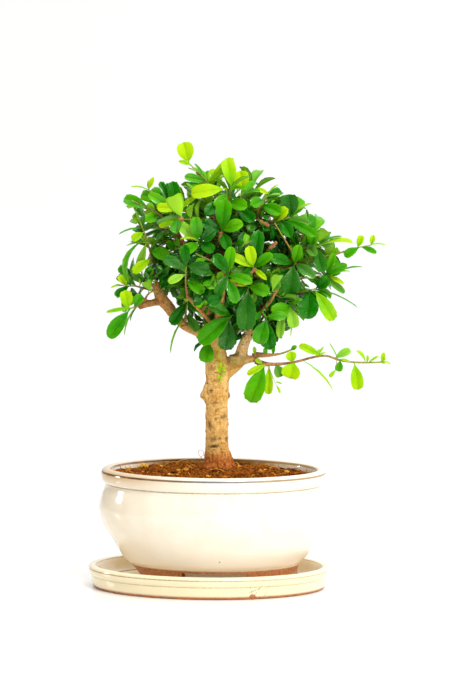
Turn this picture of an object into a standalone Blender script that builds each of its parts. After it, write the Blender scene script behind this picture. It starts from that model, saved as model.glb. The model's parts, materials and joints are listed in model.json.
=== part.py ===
# Fukien tea bonsai in an oval glazed pot on its drip tray.
# Lengths are written in millimetres and multiplied by MM where Blender needs metres.
# The origin is the middle of the tray's underside, +Z is up and -Y is the side that faces the viewer.

import math
import random

import bmesh
import bpy
import numpy as np
from mathutils import Vector
from mathutils.bvhtree import BVHTree

MM = 0.001
SEAT_GAP = 0.35
OBJECT_NAME = "fukien_tea_bonsai"
SHARP_ANGLE = math.radians(50)

# The oval plan: depth as a share of length, and how many flat sides stand for its curve.
OVAL_DEPTH = 0.78
OVAL_STEPS = 32

# Turned outlines as (half length, height) points, from the top middle outwards and down.
TRAY_OUTLINE = (
    (0.0, 5.5), (74.5, 5.6), (78.6, 12.0), (80.4, 15.3), (83.4, 16.0), (85.9, 14.6), (85.7, 12.0),
    (84.0, 9.8), (82.2, 1.2), (80.6, 0.0), (0.0, 0.0),
)
POT_SHIFT = 2.8
POT_FOOT_HEIGHT = 5.8
POT_FLOOR_TOP = 21.5
POT_OUTLINE = (
    (0.0, POT_FLOOR_TOP), (50.0, 22.5), (68.0, 36.0), (75.5, 54.0), (72.3, 71.0), (72.8, 80.5),
    (74.2, 85.2), (79.9, 82.8), (80.2, 78.2), (77.4, 74.6), (79.8, 67.0), (81.5, 55.5), (78.3, 44.5),
    (71.6, 33.5), (64.6, 22.4), (60.2, 18.2), (54.4, POT_FOOT_HEIGHT), (48.5, POT_FOOT_HEIGHT),
    (47.5, 16.0), (0.0, 16.0),
)
FOOT_GAP_WIDTH = 46.0
FOOT_GAP_HEIGHT = 9.6
FOOT_GAP_SHIFT = -1.1
DRAIN_RADIUS = 6.0
DRAIN_SPACING = 44.0
DRAIN_SIDES = 16

# The pot was pressed by hand: it bulges lower on its right side, and its foot leans to the right.
LOW_BULGE = 4.2
LOW_BULGE_HEIGHT = 32.0
LOW_BULGE_SPREAD = 11.0
BULGE_REACH = 80.0
FOOT_LEAN = 4.0
FOOT_LEAN_TOP = 20.0
FOOT_LEAN_RISE = 11.0

# The soil fills the pot to just under its rim and is heaped a little round the trunk.
SOIL_EDGE_HEIGHT = 79.5
SOIL_HEAP_HEIGHT = 86.5
SOIL_HEAP_POWER = 1.3
SOIL_SIDE_POINTS = ((50.0, 22.5), (68.0, 36.0), (75.5, 54.0), (72.3, 71.0))
SOIL_SIDE_GAP = 0.5
SOIL_RING_SHARES = (0.9, 0.7, 0.5, 0.3)
SOIL_LUMP = 0.55

# The trunk stands in a plain round hole in the soil.
TRUNK_X = 6.4
STUMP_BOTTOM = 66.4
STUMP_RADIUS = 11.2
HOLE_BOTTOM = 66.0
HOLE_SIDES = 24

# Each limb is a tapered tube through (x, y, z, radius) points. The first runs on from the trunk.
LIMBS = {
    "trunk": (
        (TRUNK_X, 0, STUMP_BOTTOM, STUMP_RADIUS), (TRUNK_X, 0, 86, STUMP_RADIUS), (6.0, 0, 92, 9.6),
        (5.3, 0, 99, 8.4), (4.7, 0, 112, 7.9), (4.7, 0, 128, 7.9), (4.9, 0, 144, 8.1),
        (4.9, 0, 156, 8.5), (4.0, 0.5, 167, 7.4), (3.4, 2, 179, 5.2), (2.4, 4, 195, 4.2),
        (1.2, 5, 212, 3.8), (3.5, 5, 232, 3.4), (6, 4, 250, 2.8), (7.5, 2, 264, 2.0),
    ),
    "left": (
        (4, 0, 163, 5.0), (-3, 0, 176.5, 4.2), (-9, -1, 182, 3.3), (-17.4, -2, 186, 3.2),
        (-24.5, -3, 192.6, 3.6), (-30.2, -4, 200.5, 3.9), (-35.1, -5, 206.2, 4.1), (-38, -5, 213, 3.8),
        (-39.3, -5, 218, 2.7),
    ),
    "left_arm": (
        (-34, -5, 205, 2.8), (-42, -7, 203.5, 2.5), (-48, -9, 202.2, 2.5), (-51.5, -10, 200.8, 2.4),
    ),
    "right": (
        (6, 0, 149, 5.0), (14, -1, 157, 5.2), (20.5, -2, 163, 5.0), (23, -2, 173, 3.8),
        (26.6, -2, 182, 3.5), (29, -1, 190, 3.3), (33, 1, 203, 3.0), (40, 3, 214, 2.8),
        (49, 4, 225, 2.5), (57, 4, 236, 2.1), (58.5, 2, 242, 1.6),
    ),
    "low_right": ((19, -2, 162, 3.6), (27, -4, 163.6, 2.9), (33, -5, 164.2, 2.1)),
    "back": (
        (3.5, 1, 168, 4.6), (4, 12, 181, 3.6), (6, 22, 194, 3.2), (8, 32, 207, 2.8), (8, 40, 222, 2.2),
        (7, 43, 235, 1.6),
    ),
    "back_left": ((2.5, 4, 191, 3.0), (-8, 14, 203, 2.6), (-19, 24, 213, 2.2), (-28, 33, 222, 1.6)),
    "back_right": ((28, -1, 188, 2.8), (36, 10, 199, 2.4), (44, 21, 209, 2.1), (51, 31, 219, 1.6)),
    "front": (
        (4, -1, 170, 4.6), (5, -13, 185, 3.4), (6, -22, 201, 2.9), (8, -29, 218, 2.4),
        (9, -33, 232, 1.7),
    ),
    "front_left": ((5, -12, 184, 2.6), (-7, -23, 199, 2.2), (-17, -32, 210, 1.6)),
    "front_right": ((28, -2, 187, 2.7), (34, -13, 197, 2.2), (41, -24, 206, 1.9), (46, -33, 215, 1.4)),
    "top_left": ((1.5, 5, 213, 2.7), (-8, 4, 228, 2.3), (-18, 2, 242, 1.9), (-25, 0, 254, 1.5)),
    "top_right": ((3.5, 5, 231, 2.6), (13, 5, 244, 2.1), (24, 3, 255, 1.8), (36, 0, 262, 1.4)),
    "inner_right": ((32, 0, 201, 2.3), (26, -8, 213, 2.0), (25, -13, 222, 1.8), (31, -16, 227, 1.4)),
    "stub": ((1, 0, 136, 4.4), (-4, 0, 137, 3.6), (-7.2, 0, 137.6, 2.2)),
    "knot": ((9, 0, 137, 3.4), (14.1, -0.6, 137.4, 1.7)),
    "burr": ((17, -3, 160, 5.2), (17.5, -3.5, 166.5, 4.6)),
}
LIMB_STEP = 14.0
TRUNK_ROUNDNESS = 3
LIMB_ROUNDNESS = 1

# The ways a leaf's upper face can look.
FRONT = Vector((0.0, -1.0, 0.35))
UP = Vector((0.0, -0.35, 1.0))
LEFT = Vector((-1.0, -0.5, 0.4))
RIGHT = Vector((1.0, -0.5, 0.4))

# Shoots that show as themselves from the front. Each has its route from the wood outwards, then
# leaves as (share along the route, tip x, y, z, width, way the upper face looks), and for a leaf
# that arches more or less than the others its bend in degrees.
SHOOTS = {
    "top_sprig": (
        ((7, 2, 262), (3, 0, 276), (-3, -2, 289), (-10, -3, 296), (-16.5, -3, 302.3)),
        (
            (1.0, -21, -4, 317.3, 12, FRONT), (0.97, -24, -5, 304, 3.2, FRONT),
            (0.62, -13, 3, 302, 2.6, UP), (0.55, 15, -6, 306.5, 7, FRONT), (0.5, 13, -5, 294.5, 3, UP),
            (0.62, -19.6, -6, 293, 6.5, FRONT),
        ),
    ),
    "top_front": (
        ((6, 3, 252), (9, -7, 262), (11, -13, 274), (10, -16, 285.5)),
        (
            (1.0, -15, -18, 281.5, 10, FRONT), (0.95, 24, -19, 285, 6, UP),
            (0.75, -5, -22, 268, 9, FRONT), (0.7, 25, -22, 273, 9, FRONT), (0.9, 3, -22, 272, 8, FRONT),
        ),
    ),
    "front_top": (
        ((6, 2, 254), (7, -10, 254), (7, -20, 256)),
        (
            (1.0, 9, -24, 279, 11.4, FRONT), (0.9, -7, -24, 262, 9, FRONT),
            (0.95, 22, -26, 262, 9, FRONT), (0.8, 12, -27, 243, 8, FRONT),
        ),
    ),
    "top_right_leaf": (
        ((13, 5, 245), (16, 1, 260), (19, -4, 273), (21.5, -6, 284)),
        (
            (1.0, 19.5, -8, 298, 11.4, FRONT), (0.85, 34, -11, 283, 7, UP), (0.7, 6, -4, 282, 9, UP),
            (0.8, 30, 6, 289, 8, UP), (0.6, 30, -14, 262, 9, FRONT),
        ),
    ),
    "bud_right_top": (
        ((26, 2, 257), (33, -2, 270), (38, -4, 277), (40, -5, 281.5)),
        (
            (1.0, 31.5, -7, 285, 3.6, FRONT), (1.0, 47, -6, 288, 2.8, UP),
            (0.97, 48.5, -7, 281, 3.4, UP), (0.75, 27, -14, 274, 8, FRONT),
            (0.6, 49, -14, 268, 9, FRONT),
        ),
    ),
    "dark_round": (
        ((36, 0, 262), (45, -4, 262), (56, -6, 265)),
        (
            (1.0, 54, -8, 281.5, 12.8, FRONT), (0.95, 71, -8, 275, 4.3, UP),
            (0.9, 69, -12, 261, 7, FRONT), (0.3, 54, -18, 271.5, 8.5, FRONT),
            (0.9, 74, -15, 252.5, 6.5, FRONT), (0.6, 56, -20, 252, 9, FRONT),
        ),
    ),
    "right_upper": (
        ((58, 3, 240), (66, -1, 243), (75.5, -4, 244.5)),
        (
            (1.0, 100, -8, 247, 8.5, UP), (0.95, 92.5, -2, 251.5, 4, UP), (0.7, 72, -10, 258, 8, FRONT),
            (0.5, 73.5, -18, 238.5, 7, FRONT), (0.95, 79, -14, 226.5, 9.5, FRONT),
        ),
    ),
    "right_tip": (
        ((53, 4, 230), (66, 1, 234), (78, -2, 237), (88, -3, 238.5), (97, -3, 242), (105, -3, 244),
        (113, -3, 245.6)),
        (
            (0.86, 94, -5, 237.5, 6.4, FRONT), (0.84, 106.5, -4, 252.5, 5, FRONT),
            (0.88, 117, -4, 240, 4.3, FRONT), (1.0, 114.5, -4, 253, 4, FRONT),
            (1.0, 123.5, -4, 245.5, 2.8, UP),
        ),
    ),
    "right_middle": (
        ((47, 4, 223), (60, 0, 221), (74, -3, 223), (85.5, -4, 224)),
        (
            (1.0, 107.5, -4, 230, 2.8, UP), (0.97, 87, -7, 240, 5, FRONT),
            (0.97, 96, -9, 232, 7, FRONT), (1.0, 98.5, -6, 227, 3, UP), (1.0, 94, -8, 218, 3.6, FRONT),
            (0.95, 94.5, -4, 211.5, 5, FRONT),
        ),
    ),
    "right_low": (
        ((41, 3, 214), (54, 0, 211), (65, -3, 212), (74, -5, 214.5)),
        (
            (1.0, 84, -11, 222, 8.5, FRONT), (1.0, 87, -8, 192, 10, FRONT),
            (0.95, 68, -13, 193.5, 15, FRONT), (0.97, 104.5, -5, 200.5, 2.6, UP),
        ),
    ),
    "right_hang": (
        ((55, 4, 233), (58, -6, 233), (58.5, -13, 232)),
        (
            (1.0, 55, -17, 211, 13.5, FRONT), (0.9, 41, -18, 237, 8, FRONT),
            (0.9, 73, -17, 223, 8, FRONT), (1.0, 62, -20, 247, 7, FRONT),
        ),
    ),
    "right_bottom": (
        ((33, 1, 203), (42, -4, 200), (50, -9, 200), (57, -12, 203)),
        (
            (1.0, 43.5, -19, 196, 12, FRONT), (0.95, 59, -13, 187, 8.5, FRONT),
            (0.7, 48.6, -14, 180, 6.4, FRONT), (0.85, 56, -11, 180, 2.8, RIGHT),
            (0.95, 71, -8, 205, 7, UP),
        ),
    ),
    "centre_hang": (
        ((26, -9, 215), (26, -17, 217), (26, -25, 217)),
        (
            (1.0, 24.5, -29, 186.5, 14, FRONT), (1.0, 41, -29, 213, 9, FRONT),
            (0.9, 12, -27, 205, 8, FRONT), (0.95, 12, -26, 221, 5, FRONT),
        ),
    ),
    "fork_front": (
        ((34, -13, 197), (37, -18, 196.5), (39, -22, 195)),
        (
            (1.0, 33.5, -24, 176.5, 11.4, FRONT), (0.9, 42, -20, 172, 10, FRONT),
            (0.95, 53, -22, 196, 7, FRONT),
        ),
    ),
    "trunk_front": (
        ((5, -13, 186), (10, -18, 191), (15.5, -20, 197)),
        (
            (1.0, -8.2, -24, 176.5, 12.8, FRONT), (0.6, 10.5, -20, 171.5, 12, FRONT),
            (0.95, -2, -26, 204, 8, FRONT),
        ),
    ),
    "fork_left": (
        ((-3, 0, 177), (-3, -6, 178), (-1.5, -10, 177.5)),
        ((1.0, -3.7, -13, 161.8, 10.6, FRONT), (0.9, -12, -8, 169, 4.5, LEFT)),
    ),
    "left_inner": (
        ((-18, -2, 187), (-18, -7, 196), (-16.5, -10, 205)),
        (
            (1.0, -28, -13, 188.5, 8.5, FRONT), (0.3, -9, -13, 184, 6.4, FRONT),
            (0.2, -28.4, -9, 167.5, 3.4, LEFT), (0.9, -2.5, -16, 198, 6.4, FRONT),
            (1.0, -21, -12, 214, 4, FRONT),
        ),
    ),
    "left_hang": (
        ((-46, -8.5, 202.7), (-48, -12.5, 203), (-53, -13, 201.5), (-58.5, -12, 199)),
        (
            (1.0, -61, -14, 213, 9, FRONT), (0.9, -49, -15, 210, 7, FRONT),
            (1.0, -72, -15, 179, 10.6, FRONT), (0.8, -57, -9, 190, 3.6, LEFT),
            (0.85, -61, -10, 180, 2.8, LEFT), (0.97, -74.5, -13, 197, 3, FRONT),
        ),
    ),
    "left_shoot": (
        ((-39, -5, 216), (-41, -6, 228), (-43, -6, 238), (-47.6, -6, 253), (-54.4, -6, 269.6)),
        (
            (0.72, -66, -6, 251.5, 3.2, UP), (0.66, -56.5, -9, 248, 6, FRONT),
            (0.56, -58, -11, 218, 9, LEFT, 95), (0.55, -52, -1, 226, 6, FRONT),
            (1.0, -47.5, -8, 271, 4, UP), (0.5, -60.5, -7, 243.5, 3, UP),
            (0.28, -55.5, -13, 225, 7, FRONT), (0.4, -30, -13, 236, 9, FRONT),
        ),
    ),
    "left_low": (
        ((-38, -5, 211), (-46, -2, 213), (-54, -3, 215), (-61, -5, 215)),
        (
            (1.0, -71.3, -8, 213.5, 4, UP), (1.0, -66, -9, 223, 5, FRONT),
            (0.95, -67.5, -9, 208.5, 5, FRONT), (0.45, -47, -1, 203, 5, LEFT),
        ),
    ),
    "left_top_twig": (
        ((-25, 0, 253), (-31, -4, 260), (-36, -4, 266), (-44.5, -4, 270), (-57, -5, 276)),
        (
            (0.62, -62.5, 1, 277, 8.5, FRONT), (0.4, -47, -12, 262, 7, FRONT),
            (0.7, -60, -11, 266, 5, FRONT), (0.3, -40, 6, 258, 9, LEFT),
        ),
    ),
    "top_left_cluster": (
        ((-24, -1, 252), (-25, -6, 262), (-24.5, -10, 270)),
        (
            (1.0, -39, -15, 271.5, 7, FRONT), (1.0, -9, -15, 281.5, 3.6, FRONT),
            (0.95, -45, -13, 281, 7.5, FRONT), (0.95, -28, -7, 290, 9, FRONT),
            (0.9, -37, -9, 289.5, 6, FRONT), (0.8, -37, -16, 258, 6, FRONT),
            (0.8, -12, -18, 262, 8, FRONT),
        ),
    ),
    "bud_left": (
        ((-20, 2, 246), (-26, 7, 257), (-34, 6, 269), (-40, 4, 277), (-45, 2, 283.5)),
        (
            (1.0, -41.6, 0, 292.3, 3.6, FRONT), (1.0, -58, 0, 285, 3, UP), (0.75, -50, 9, 280, 8, LEFT),
            (0.7, -27, 6, 286, 9, UP),
        ),
    ),
    "front_lime": (
        ((30, -15.5, 226.5), (30, -24, 229), (29.5, -33, 231.5)),
        (
            (1.0, 26, -37, 247, 8, FRONT), (1.0, 13.5, -37, 240, 6.5, FRONT),
            (0.97, 18.5, -39, 232, 3, UP), (0.97, 43, -36, 241.5, 7, FRONT),
            (0.85, 33, -31, 258, 10, FRONT), (0.95, 39, -38, 223, 4, FRONT),
        ),
    ),
    "front_left_high": (
        ((3, 4, 234), (-5, -16, 244), (-9.5, -30, 250)),
        (
            (1.0, -22.5, -33, 250.5, 4, UP), (1.0, -12, -34, 267, 8.5, FRONT),
            (0.95, 3, -35, 257, 9, FRONT), (0.9, 1.5, -35, 242, 8, FRONT),
            (0.85, -25, -28, 262, 8, FRONT), (0.9, -22, -36, 240, 8, FRONT),
        ),
    ),
    "front_left_low": (
        ((-16.5, -31.5, 209.5), (-18, -37, 222), (-17.5, -41, 233)),
        (
            (1.0, -1.5, -45, 229, 10.6, FRONT), (0.95, -34, -42, 238, 8, FRONT),
            (0.7, -30, -42, 221, 6, FRONT), (0.5, -5, -43, 214, 8, FRONT),
            (1.0, -19, -42, 248, 7, FRONT),
        ),
    ),
    "front_middle": (
        ((8, -30, 219.5), (10, -38, 225), (12.4, -44, 228.5)),
        (
            (1.0, 1, -48, 241, 9, FRONT), (1.0, 4, -48, 213, 8, FRONT), (1.0, 14, -49, 247, 8, FRONT),
            (0.95, 29, -46, 222, 7, FRONT), (0.7, 18, -45, 207, 8, FRONT),
        ),
    ),
    "low_twig_upper": (
        ((30, -4.5, 163.9), (31.5, -6, 168), (38, -7, 167), (48, -8, 167.8), (57, -8, 171)),
        (
            (0.5, 44.5, -9, 175, 2.8, FRONT), (1.0, 61, -10, 174, 3.4, FRONT),
            (0.3, 38.5, -8, 172.5, 3.4, FRONT),
        ),
    ),
    "low_twig_tip": (
        (
            (29, -4.5, 163.8), (36, -8, 160), (44, -9, 161), (57, -9, 161.8), (75.5, -8, 166.5),
            (85.5, -8, 166.6), (90, -8, 164.2), (104.5, -8, 162.4), (121.6, -8, 162.8),
        ),
        (
            (0.09, 28.3, -12, 133.5, 14, FRONT), (0.1, 41, -8, 139, 6.4, FRONT),
            (0.1, 26, -12, 153.5, 5, FRONT), (0.15, 50, -12, 152, 7.8, FRONT),
            (0.3, 55.7, -12, 151, 13.5, FRONT), (0.3, 56, -9, 170, 7.8, FRONT),
            (0.36, 87, -10, 142, 3, UP), (0.52, 62.3, -10, 174.5, 5.7, FRONT),
            (0.62, 99, -6, 171, 6, FRONT), (0.67, 90.5, -10, 156, 5.7, FRONT),
            (0.78, 104.7, -10, 143, 9.2, FRONT), (0.87, 103, -8, 170.5, 5, UP),
            (1.0, 122.5, -9, 170, 3.4, FRONT), (1.0, 128, -8, 161, 3, UP),
        ),
    ),
}
TWIG_RADIUS = 1.05
TWIG_TIP_SHARE = 0.7
TWIG_STEP = 10.0
TWIG_SHORTEST = 3
TWIG_START_STEP = 0.1
LATEST_START = 0.8
HALF_ROOT = math.sqrt(0.5)

# Shoots that fill the crown by rule, on every side: their tips are spread evenly over an ellipsoid.
CROWN_MIDDLE = Vector((13.0, 0.0, 238.0))
CROWN_HALF = Vector((76.0, 60.0, 64.0))
FILL_SHOOTS = 24
FILL_LEAVES = 6
FILL_LEAF_SPACING = 0.12
FILL_BACKWARD = 0.3
FILL_SEED = 7
FILL_TRIES = 12
LEAF_LENGTH_RANGE = (15.0, 23.0)
LEAF_WIDTH_SHARE_RANGE = (0.5, 0.62)
LEAF_SPREAD_RANGE = (0.8, 1.2)
LEAF_OUTWARD_PULL = 0.35
LEAF_TURN_PER_TRY = 0.9
LEAF_SHRINK_PER_TRY = 0.03
GOLDEN_ANGLE = math.pi * (3.0 - math.sqrt(5.0))

# Leaf outline as (share of length, share of half width), from the stalk to the widest place, then
# the end, with a blunt tooth on each side or without.
LEAF_SIDE = ((0.0, 0.0), (0.30, 0.55), (0.64, 1.0))
TOOTHED_END = ((0.90, 0.80), (0.89, 0.50), (1.0, 0.0))
PLAIN_END = ((0.91, 0.72), (1.0, 0.0))
SMALL_SIDE = ((0.0, 0.0), (0.52, 1.0))
SMALL_END = ((0.86, 0.78), (1.0, 0.0))
BUD_END = ((1.0, 0.0),)
SEEN_TO_REAL_WIDTH = 1.1
BUD_WIDTH = 4.5
SMALL_WIDTH = 7.2
STALK_HALF_WIDTH = 0.33
BLADE_HALF_THICKNESS = 0.45
LEAF_FOLD = math.radians(16)
LEAF_BEND = math.radians(38)
LEAF_CLEARANCE = 0.22
LEAF_TRIES = 14
LEAF_DEPTH_STEP = 1.7
ROSETTE_FOOT_SHARE = 0.25
SPIRAL_FOOT_SHARE = 0.1
SHELL_SIDES = 8
FOOT_SPACING = 1.5
FOOT_ROOM = 0.8


def smooth_route(points, step):
    """Read evenly spaced stations from a smooth curve through the route's own points."""
    rows = [np.array(point, dtype=float) for point in points]
    rows = [2 * rows[0] - rows[1]] + rows + [2 * rows[-1] - rows[-2]]
    stations = [rows[1]]
    for before, start, end, after in zip(rows, rows[1:], rows[2:], rows[3:]):
        pieces = max(1, round(float(np.linalg.norm((end - start)[:3])) / step))
        for piece in range(1, pieces + 1):
            t = piece / pieces
            stations.append(
                0.5 * (2 * start + (end - before) * t + (2 * before - 5 * start + 4 * end - after) * t ** 2
                       + (3 * start - before - 3 * end + after) * t ** 3)
            )
    return stations


def along(stations, share):
    """The point at a share of a route's length, and the route's direction there."""
    points = [Vector(station[:3]) for station in stations]
    lengths = [(b - a).length for a, b in zip(points, points[1:])]
    left = share * sum(lengths)
    for start, end, length in zip(points, points[1:], lengths):
        if left <= length:
            return start.lerp(end, left / length), (end - start).normalized()
        left -= length
    return points[-1], (points[-1] - points[-2]).normalized()


def square_to(direction, rough):
    """The part of a rough direction that stands square to another, at unit length."""
    across = rough - direction * rough.dot(direction)
    if across.length < 0.05:
        across = direction.orthogonal()
    return across.normalized()


class Stems:
    """The tapered tubes of the wood, for measuring how far a point lies from the bark."""

    def __init__(self, tubes):
        pairs = [(a, b) for stations in tubes for a, b in zip(stations, stations[1:])]
        self.start = np.array([a[:3] for a, b in pairs])
        self.run = np.array([b[:3] - a[:3] for a, b in pairs])
        self.radius = np.array([(a[3], b[3]) for a, b in pairs])

    def gap(self, point):
        """Distance from a point to the nearest bark, less than zero inside the wood."""
        offset = np.array(point) - self.start
        share = np.clip((offset * self.run).sum(1) / (self.run ** 2).sum(1), 0.0, 1.0)
        reach = np.linalg.norm(offset - self.run * share[:, None], axis=1)
        return float((reach - self.radius[:, 0] * (1 - share) - self.radius[:, 1] * share).min())

    def ring_gap(self, point, direction, radius):
        """The least gap from a ring round a twig's middle line to the bark."""
        side = direction.orthogonal().normalized() * radius
        other = direction.cross(side)
        turns = (side, other, -side, -other, (side + other) * HALF_ROOT, (side - other) * HALF_ROOT)
        return min(self.gap(point + way * turn) for turn in turns for way in (1, -1))

    def nearest(self, point):
        """The nearest point on the middle line of the wood."""
        offset = np.array(point) - self.start
        share = np.clip((offset * self.run).sum(1) / (self.run ** 2).sum(1), 0.0, 1.0)
        feet = self.start + self.run * share[:, None]
        return feet[np.linalg.norm(np.array(point) - feet, axis=1).argmin()]


def tube_shell(stations, extra):
    """Flat-sided shell round a tube, a little outside it, as points and faces for a touch test."""
    points = []
    turns = [2 * math.pi * corner / SHELL_SIDES for corner in range(SHELL_SIDES)]
    for index, station in enumerate(stations):
        ahead = stations[min(index + 1, len(stations) - 1)][:3]
        behind = stations[max(index - 1, 0)][:3]
        direction = Vector(ahead - behind).normalized()
        side = direction.orthogonal().normalized()
        other = direction.cross(side)
        reach = (station[3] + extra) / math.cos(math.pi / SHELL_SIDES)
        points += [Vector(station[:3]) + (side * math.cos(a) + other * math.sin(a)) * reach for a in turns]
    faces = []
    for ring in range(len(stations) - 1):
        near = ring * SHELL_SIDES
        far = near + SHELL_SIDES
        for corner in range(SHELL_SIDES):
            after = (corner + 1) % SHELL_SIDES
            faces.append((near + corner, near + after, far + after, far + corner))
    return points, faces


def leaf_plan(width, toothed):
    """Outline shares of a leaf, with fewer points where it is small."""
    if width < BUD_WIDTH:
        return SMALL_SIDE, BUD_END
    if width < SMALL_WIDTH:
        return SMALL_SIDE, SMALL_END
    return LEAF_SIDE, TOOTHED_END if toothed else PLAIN_END


class Leaf:
    """One blade on its stalk, arched along its length and folded along its midrib."""

    def __init__(self, base, tip, width, facing, toothed, bend=LEAF_BEND):
        self.base = Vector(base)
        self.width = width
        self.toothed = toothed
        self.bend = bend
        chord = Vector(tip) - self.base
        self.chord = chord.length
        heading = chord.normalized()
        upper = square_to(heading, facing)
        self.side = heading.cross(upper)
        self.heading = heading * math.cos(bend / 2) + upper * math.sin(bend / 2)
        self.upper = upper * math.cos(bend / 2) - heading * math.sin(bend / 2)
        self.length = self.chord * (bend / 2) / math.sin(bend / 2)

    def place(self, along_share, across, lift):
        """A point of the leaf: share of its length, millimetres across and millimetres off its face."""
        turn = self.bend * along_share
        forward = self.length * math.sin(turn) / self.bend
        drop = self.length * (1 - math.cos(turn)) / self.bend
        normal = self.upper * math.cos(turn) + self.heading * math.sin(turn)
        rise = abs(across) * math.sin(LEAF_FOLD) + lift
        middle = self.base + self.heading * forward - self.upper * drop
        return middle + self.side * (across * math.cos(LEAF_FOLD)) + normal * rise

    def half_width(self, share_across):
        return STALK_HALF_WIDTH + share_across * (self.width / 2 - STALK_HALF_WIDTH)

    def outline(self, grow):
        """Points round the blade from the stalk's left side to its right, and the midrib's wide place."""
        side, end = leaf_plan(self.width, self.toothed)
        edge = [(t, self.half_width(u) + grow) for t, u in side]
        edge += [(t, self.width / 2 * u + grow) for t, u in end[:-1]]
        ring = edge + [(1.0 + grow / self.length, 0.0)] + [(t, -across) for t, across in reversed(edge)]
        return ring, side[-1][0]

    def solid(self):
        """Closed blade: its two faces meet at the outline and stand apart at the midrib's wide place."""
        ring, rib = self.outline(0.0)
        points = [self.place(t, across, 0.0) for t, across in ring]
        points.append(self.place(rib, 0.0, BLADE_HALF_THICKNESS))
        points.append(self.place(rib, 0.0, -BLADE_HALF_THICKNESS))
        points.append(self.place(0.0, 0.0, BLADE_HALF_THICKNESS * 2))
        size = len(ring)
        upper, lower, foot = size, size + 1, size + 2
        faces = [(step, step + 1, upper) for step in range(size - 1)]
        faces += [(step + 1, step, lower) for step in range(size - 1)]
        faces += [(foot, 0, upper), (size - 1, foot, upper), (size - 1, 0, foot), (0, size - 1, lower)]
        return points, faces

    def shell(self, start=0.0):
        """The blade grown by its clearance and given a rim, for a touch test, whole or from a share on."""
        ring, rib = self.outline(LEAF_CLEARANCE)
        ring = [(max(t, start), across) for t, across in ring]
        points = []
        for way in (1, -1):
            points += [self.place(t, across, way * LEAF_CLEARANCE) for t, across in ring]
            points.append(self.place(rib, 0.0, way * (BLADE_HALF_THICKNESS + LEAF_CLEARANCE)))
        size = len(ring)
        faces = [(step, step + 1, size) for step in range(size - 1)]
        faces += [tuple(corner + size + 1 for corner in face) for face in faces]
        faces += [(i, i + 1, i + size + 2, i + size + 1) for i in range(size - 1)]
        return points, faces


class Crown:
    """What already stands in the crown, for finding room for the next leaf."""

    def __init__(self, wood_stations):
        self.taken = []
        for stations in wood_stations:
            self.add("wood", tube_shell(stations, SEAT_GAP))

    def add(self, owner, shell, outer=None):
        """Note a shell, and for a leaf its outer part, which is all that its own shoot keeps clear of."""
        points, faces = shell
        middle = sum(points, Vector()) / len(points)
        reach = max((point - middle).length for point in points)
        whole = BVHTree.FromPolygons(points, faces)
        self.taken.append((owner, middle, reach, whole, BVHTree.FromPolygons(*outer) if outer else whole))

    def is_free(self, shell, outer=None, owner=None, beside=None):
        """Whether a shell meets nothing but what it grows from and the feet of its own shoot's leaves."""
        points, faces = shell
        middle = sum(points, Vector()) / len(points)
        reach = max((point - middle).length for point in points)
        whole = BVHTree.FromPolygons(points, faces)
        part = BVHTree.FromPolygons(*outer) if outer else whole
        for other, other_middle, other_reach, other_whole, other_part in self.taken:
            if (other_middle - middle).length > reach + other_reach:
                continue
            if other == beside:
                continue
            if other == owner and part.overlap(other_part):
                return False
            if other != owner and whole.overlap(other_whole):
                return False
        return True


def seat_on_wood(route, stems):
    """Start a twig just off the bark of the limb that carries it."""
    root = stems.nearest(route[0])
    stations = smooth_route([root] + [np.array(point, dtype=float) for point in route[1:]], TWIG_STEP / 4)
    reach = sum(float(np.linalg.norm(b - a)) for a, b in zip(stations, stations[1:]))
    share = 0.0
    while share < LATEST_START and stems.ring_gap(*along(stations, share), TWIG_RADIUS) < SEAT_GAP:
        share += TWIG_START_STEP / reach
    count = max(TWIG_SHORTEST, round(reach * (1 - share) / TWIG_STEP))
    seated = [along(stations, share + (1 - share) * index / count)[0] for index in range(count + 1)]
    radii = [TWIG_RADIUS * (1 - (1 - TWIG_TIP_SHARE) * index / count) for index in range(count + 1)]
    return [np.append(point, radius) for point, radius in zip(seated, radii)]


def place_leaf(crown, name, make_leaf, foot_share):
    """Try a leaf in the places that make_leaf gives until one is free."""
    for attempt in range(LEAF_TRIES):
        leaf = make_leaf(attempt)
        whole = leaf.shell()
        outer = leaf.shell(foot_share)
        if crown.is_free(whole, outer, name, name + " twig"):
            crown.add(name, whole, outer)
            return leaf
    return None


def leaves_of_shoot(crown, name, stations, rows):
    """The leaves chosen for a shoot, moved in depth where another leaf is in the way."""
    leaves = []
    reach = sum(float(np.linalg.norm((b - a)[:3])) for a, b in zip(stations, stations[1:]))
    spacing = min(FOOT_SPACING / reach, FOOT_ROOM / len(rows))
    last = 2.0
    for index, row in sorted(enumerate(rows), key=lambda pair: -pair[1][0]):
        share, x, y, z, width, facing, *bend = row
        last = min(share, last - spacing)
        base, direction = along(stations, last)
        bend = math.radians(bend[0]) if bend else LEAF_BEND

        def make_leaf(attempt):
            depth = (attempt + 1) // 2 * LEAF_DEPTH_STEP * (-1) ** attempt
            return Leaf(base, (x, y + depth, z), width * SEEN_TO_REAL_WIDTH, facing, index % 3 != 2, bend)

        leaf = place_leaf(crown, name, make_leaf, ROSETTE_FOOT_SHARE)
        if leaf:
            leaves.append(leaf)
    return leaves


def fill_direction(index):
    """One of a set of directions spread over a sphere, closer together at the back."""
    height = 1 - 2 * (index + 0.5) / FILL_SHOOTS
    turn = index * GOLDEN_ANGLE
    flat = math.sqrt(1 - height ** 2)
    return Vector((flat * math.cos(turn), flat * math.sin(turn) + FILL_BACKWARD, height)).normalized()


def crown_reach(direction):
    """Half size of the crown in a direction, less at the lower left where it is open."""
    reach = Vector(a * b for a, b in zip(direction, CROWN_HALF))
    if direction.x < -0.2 and direction.z < 0:
        reach *= 0.72
    elif direction.z < -0.3:
        reach *= 0.84
    return reach


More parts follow.
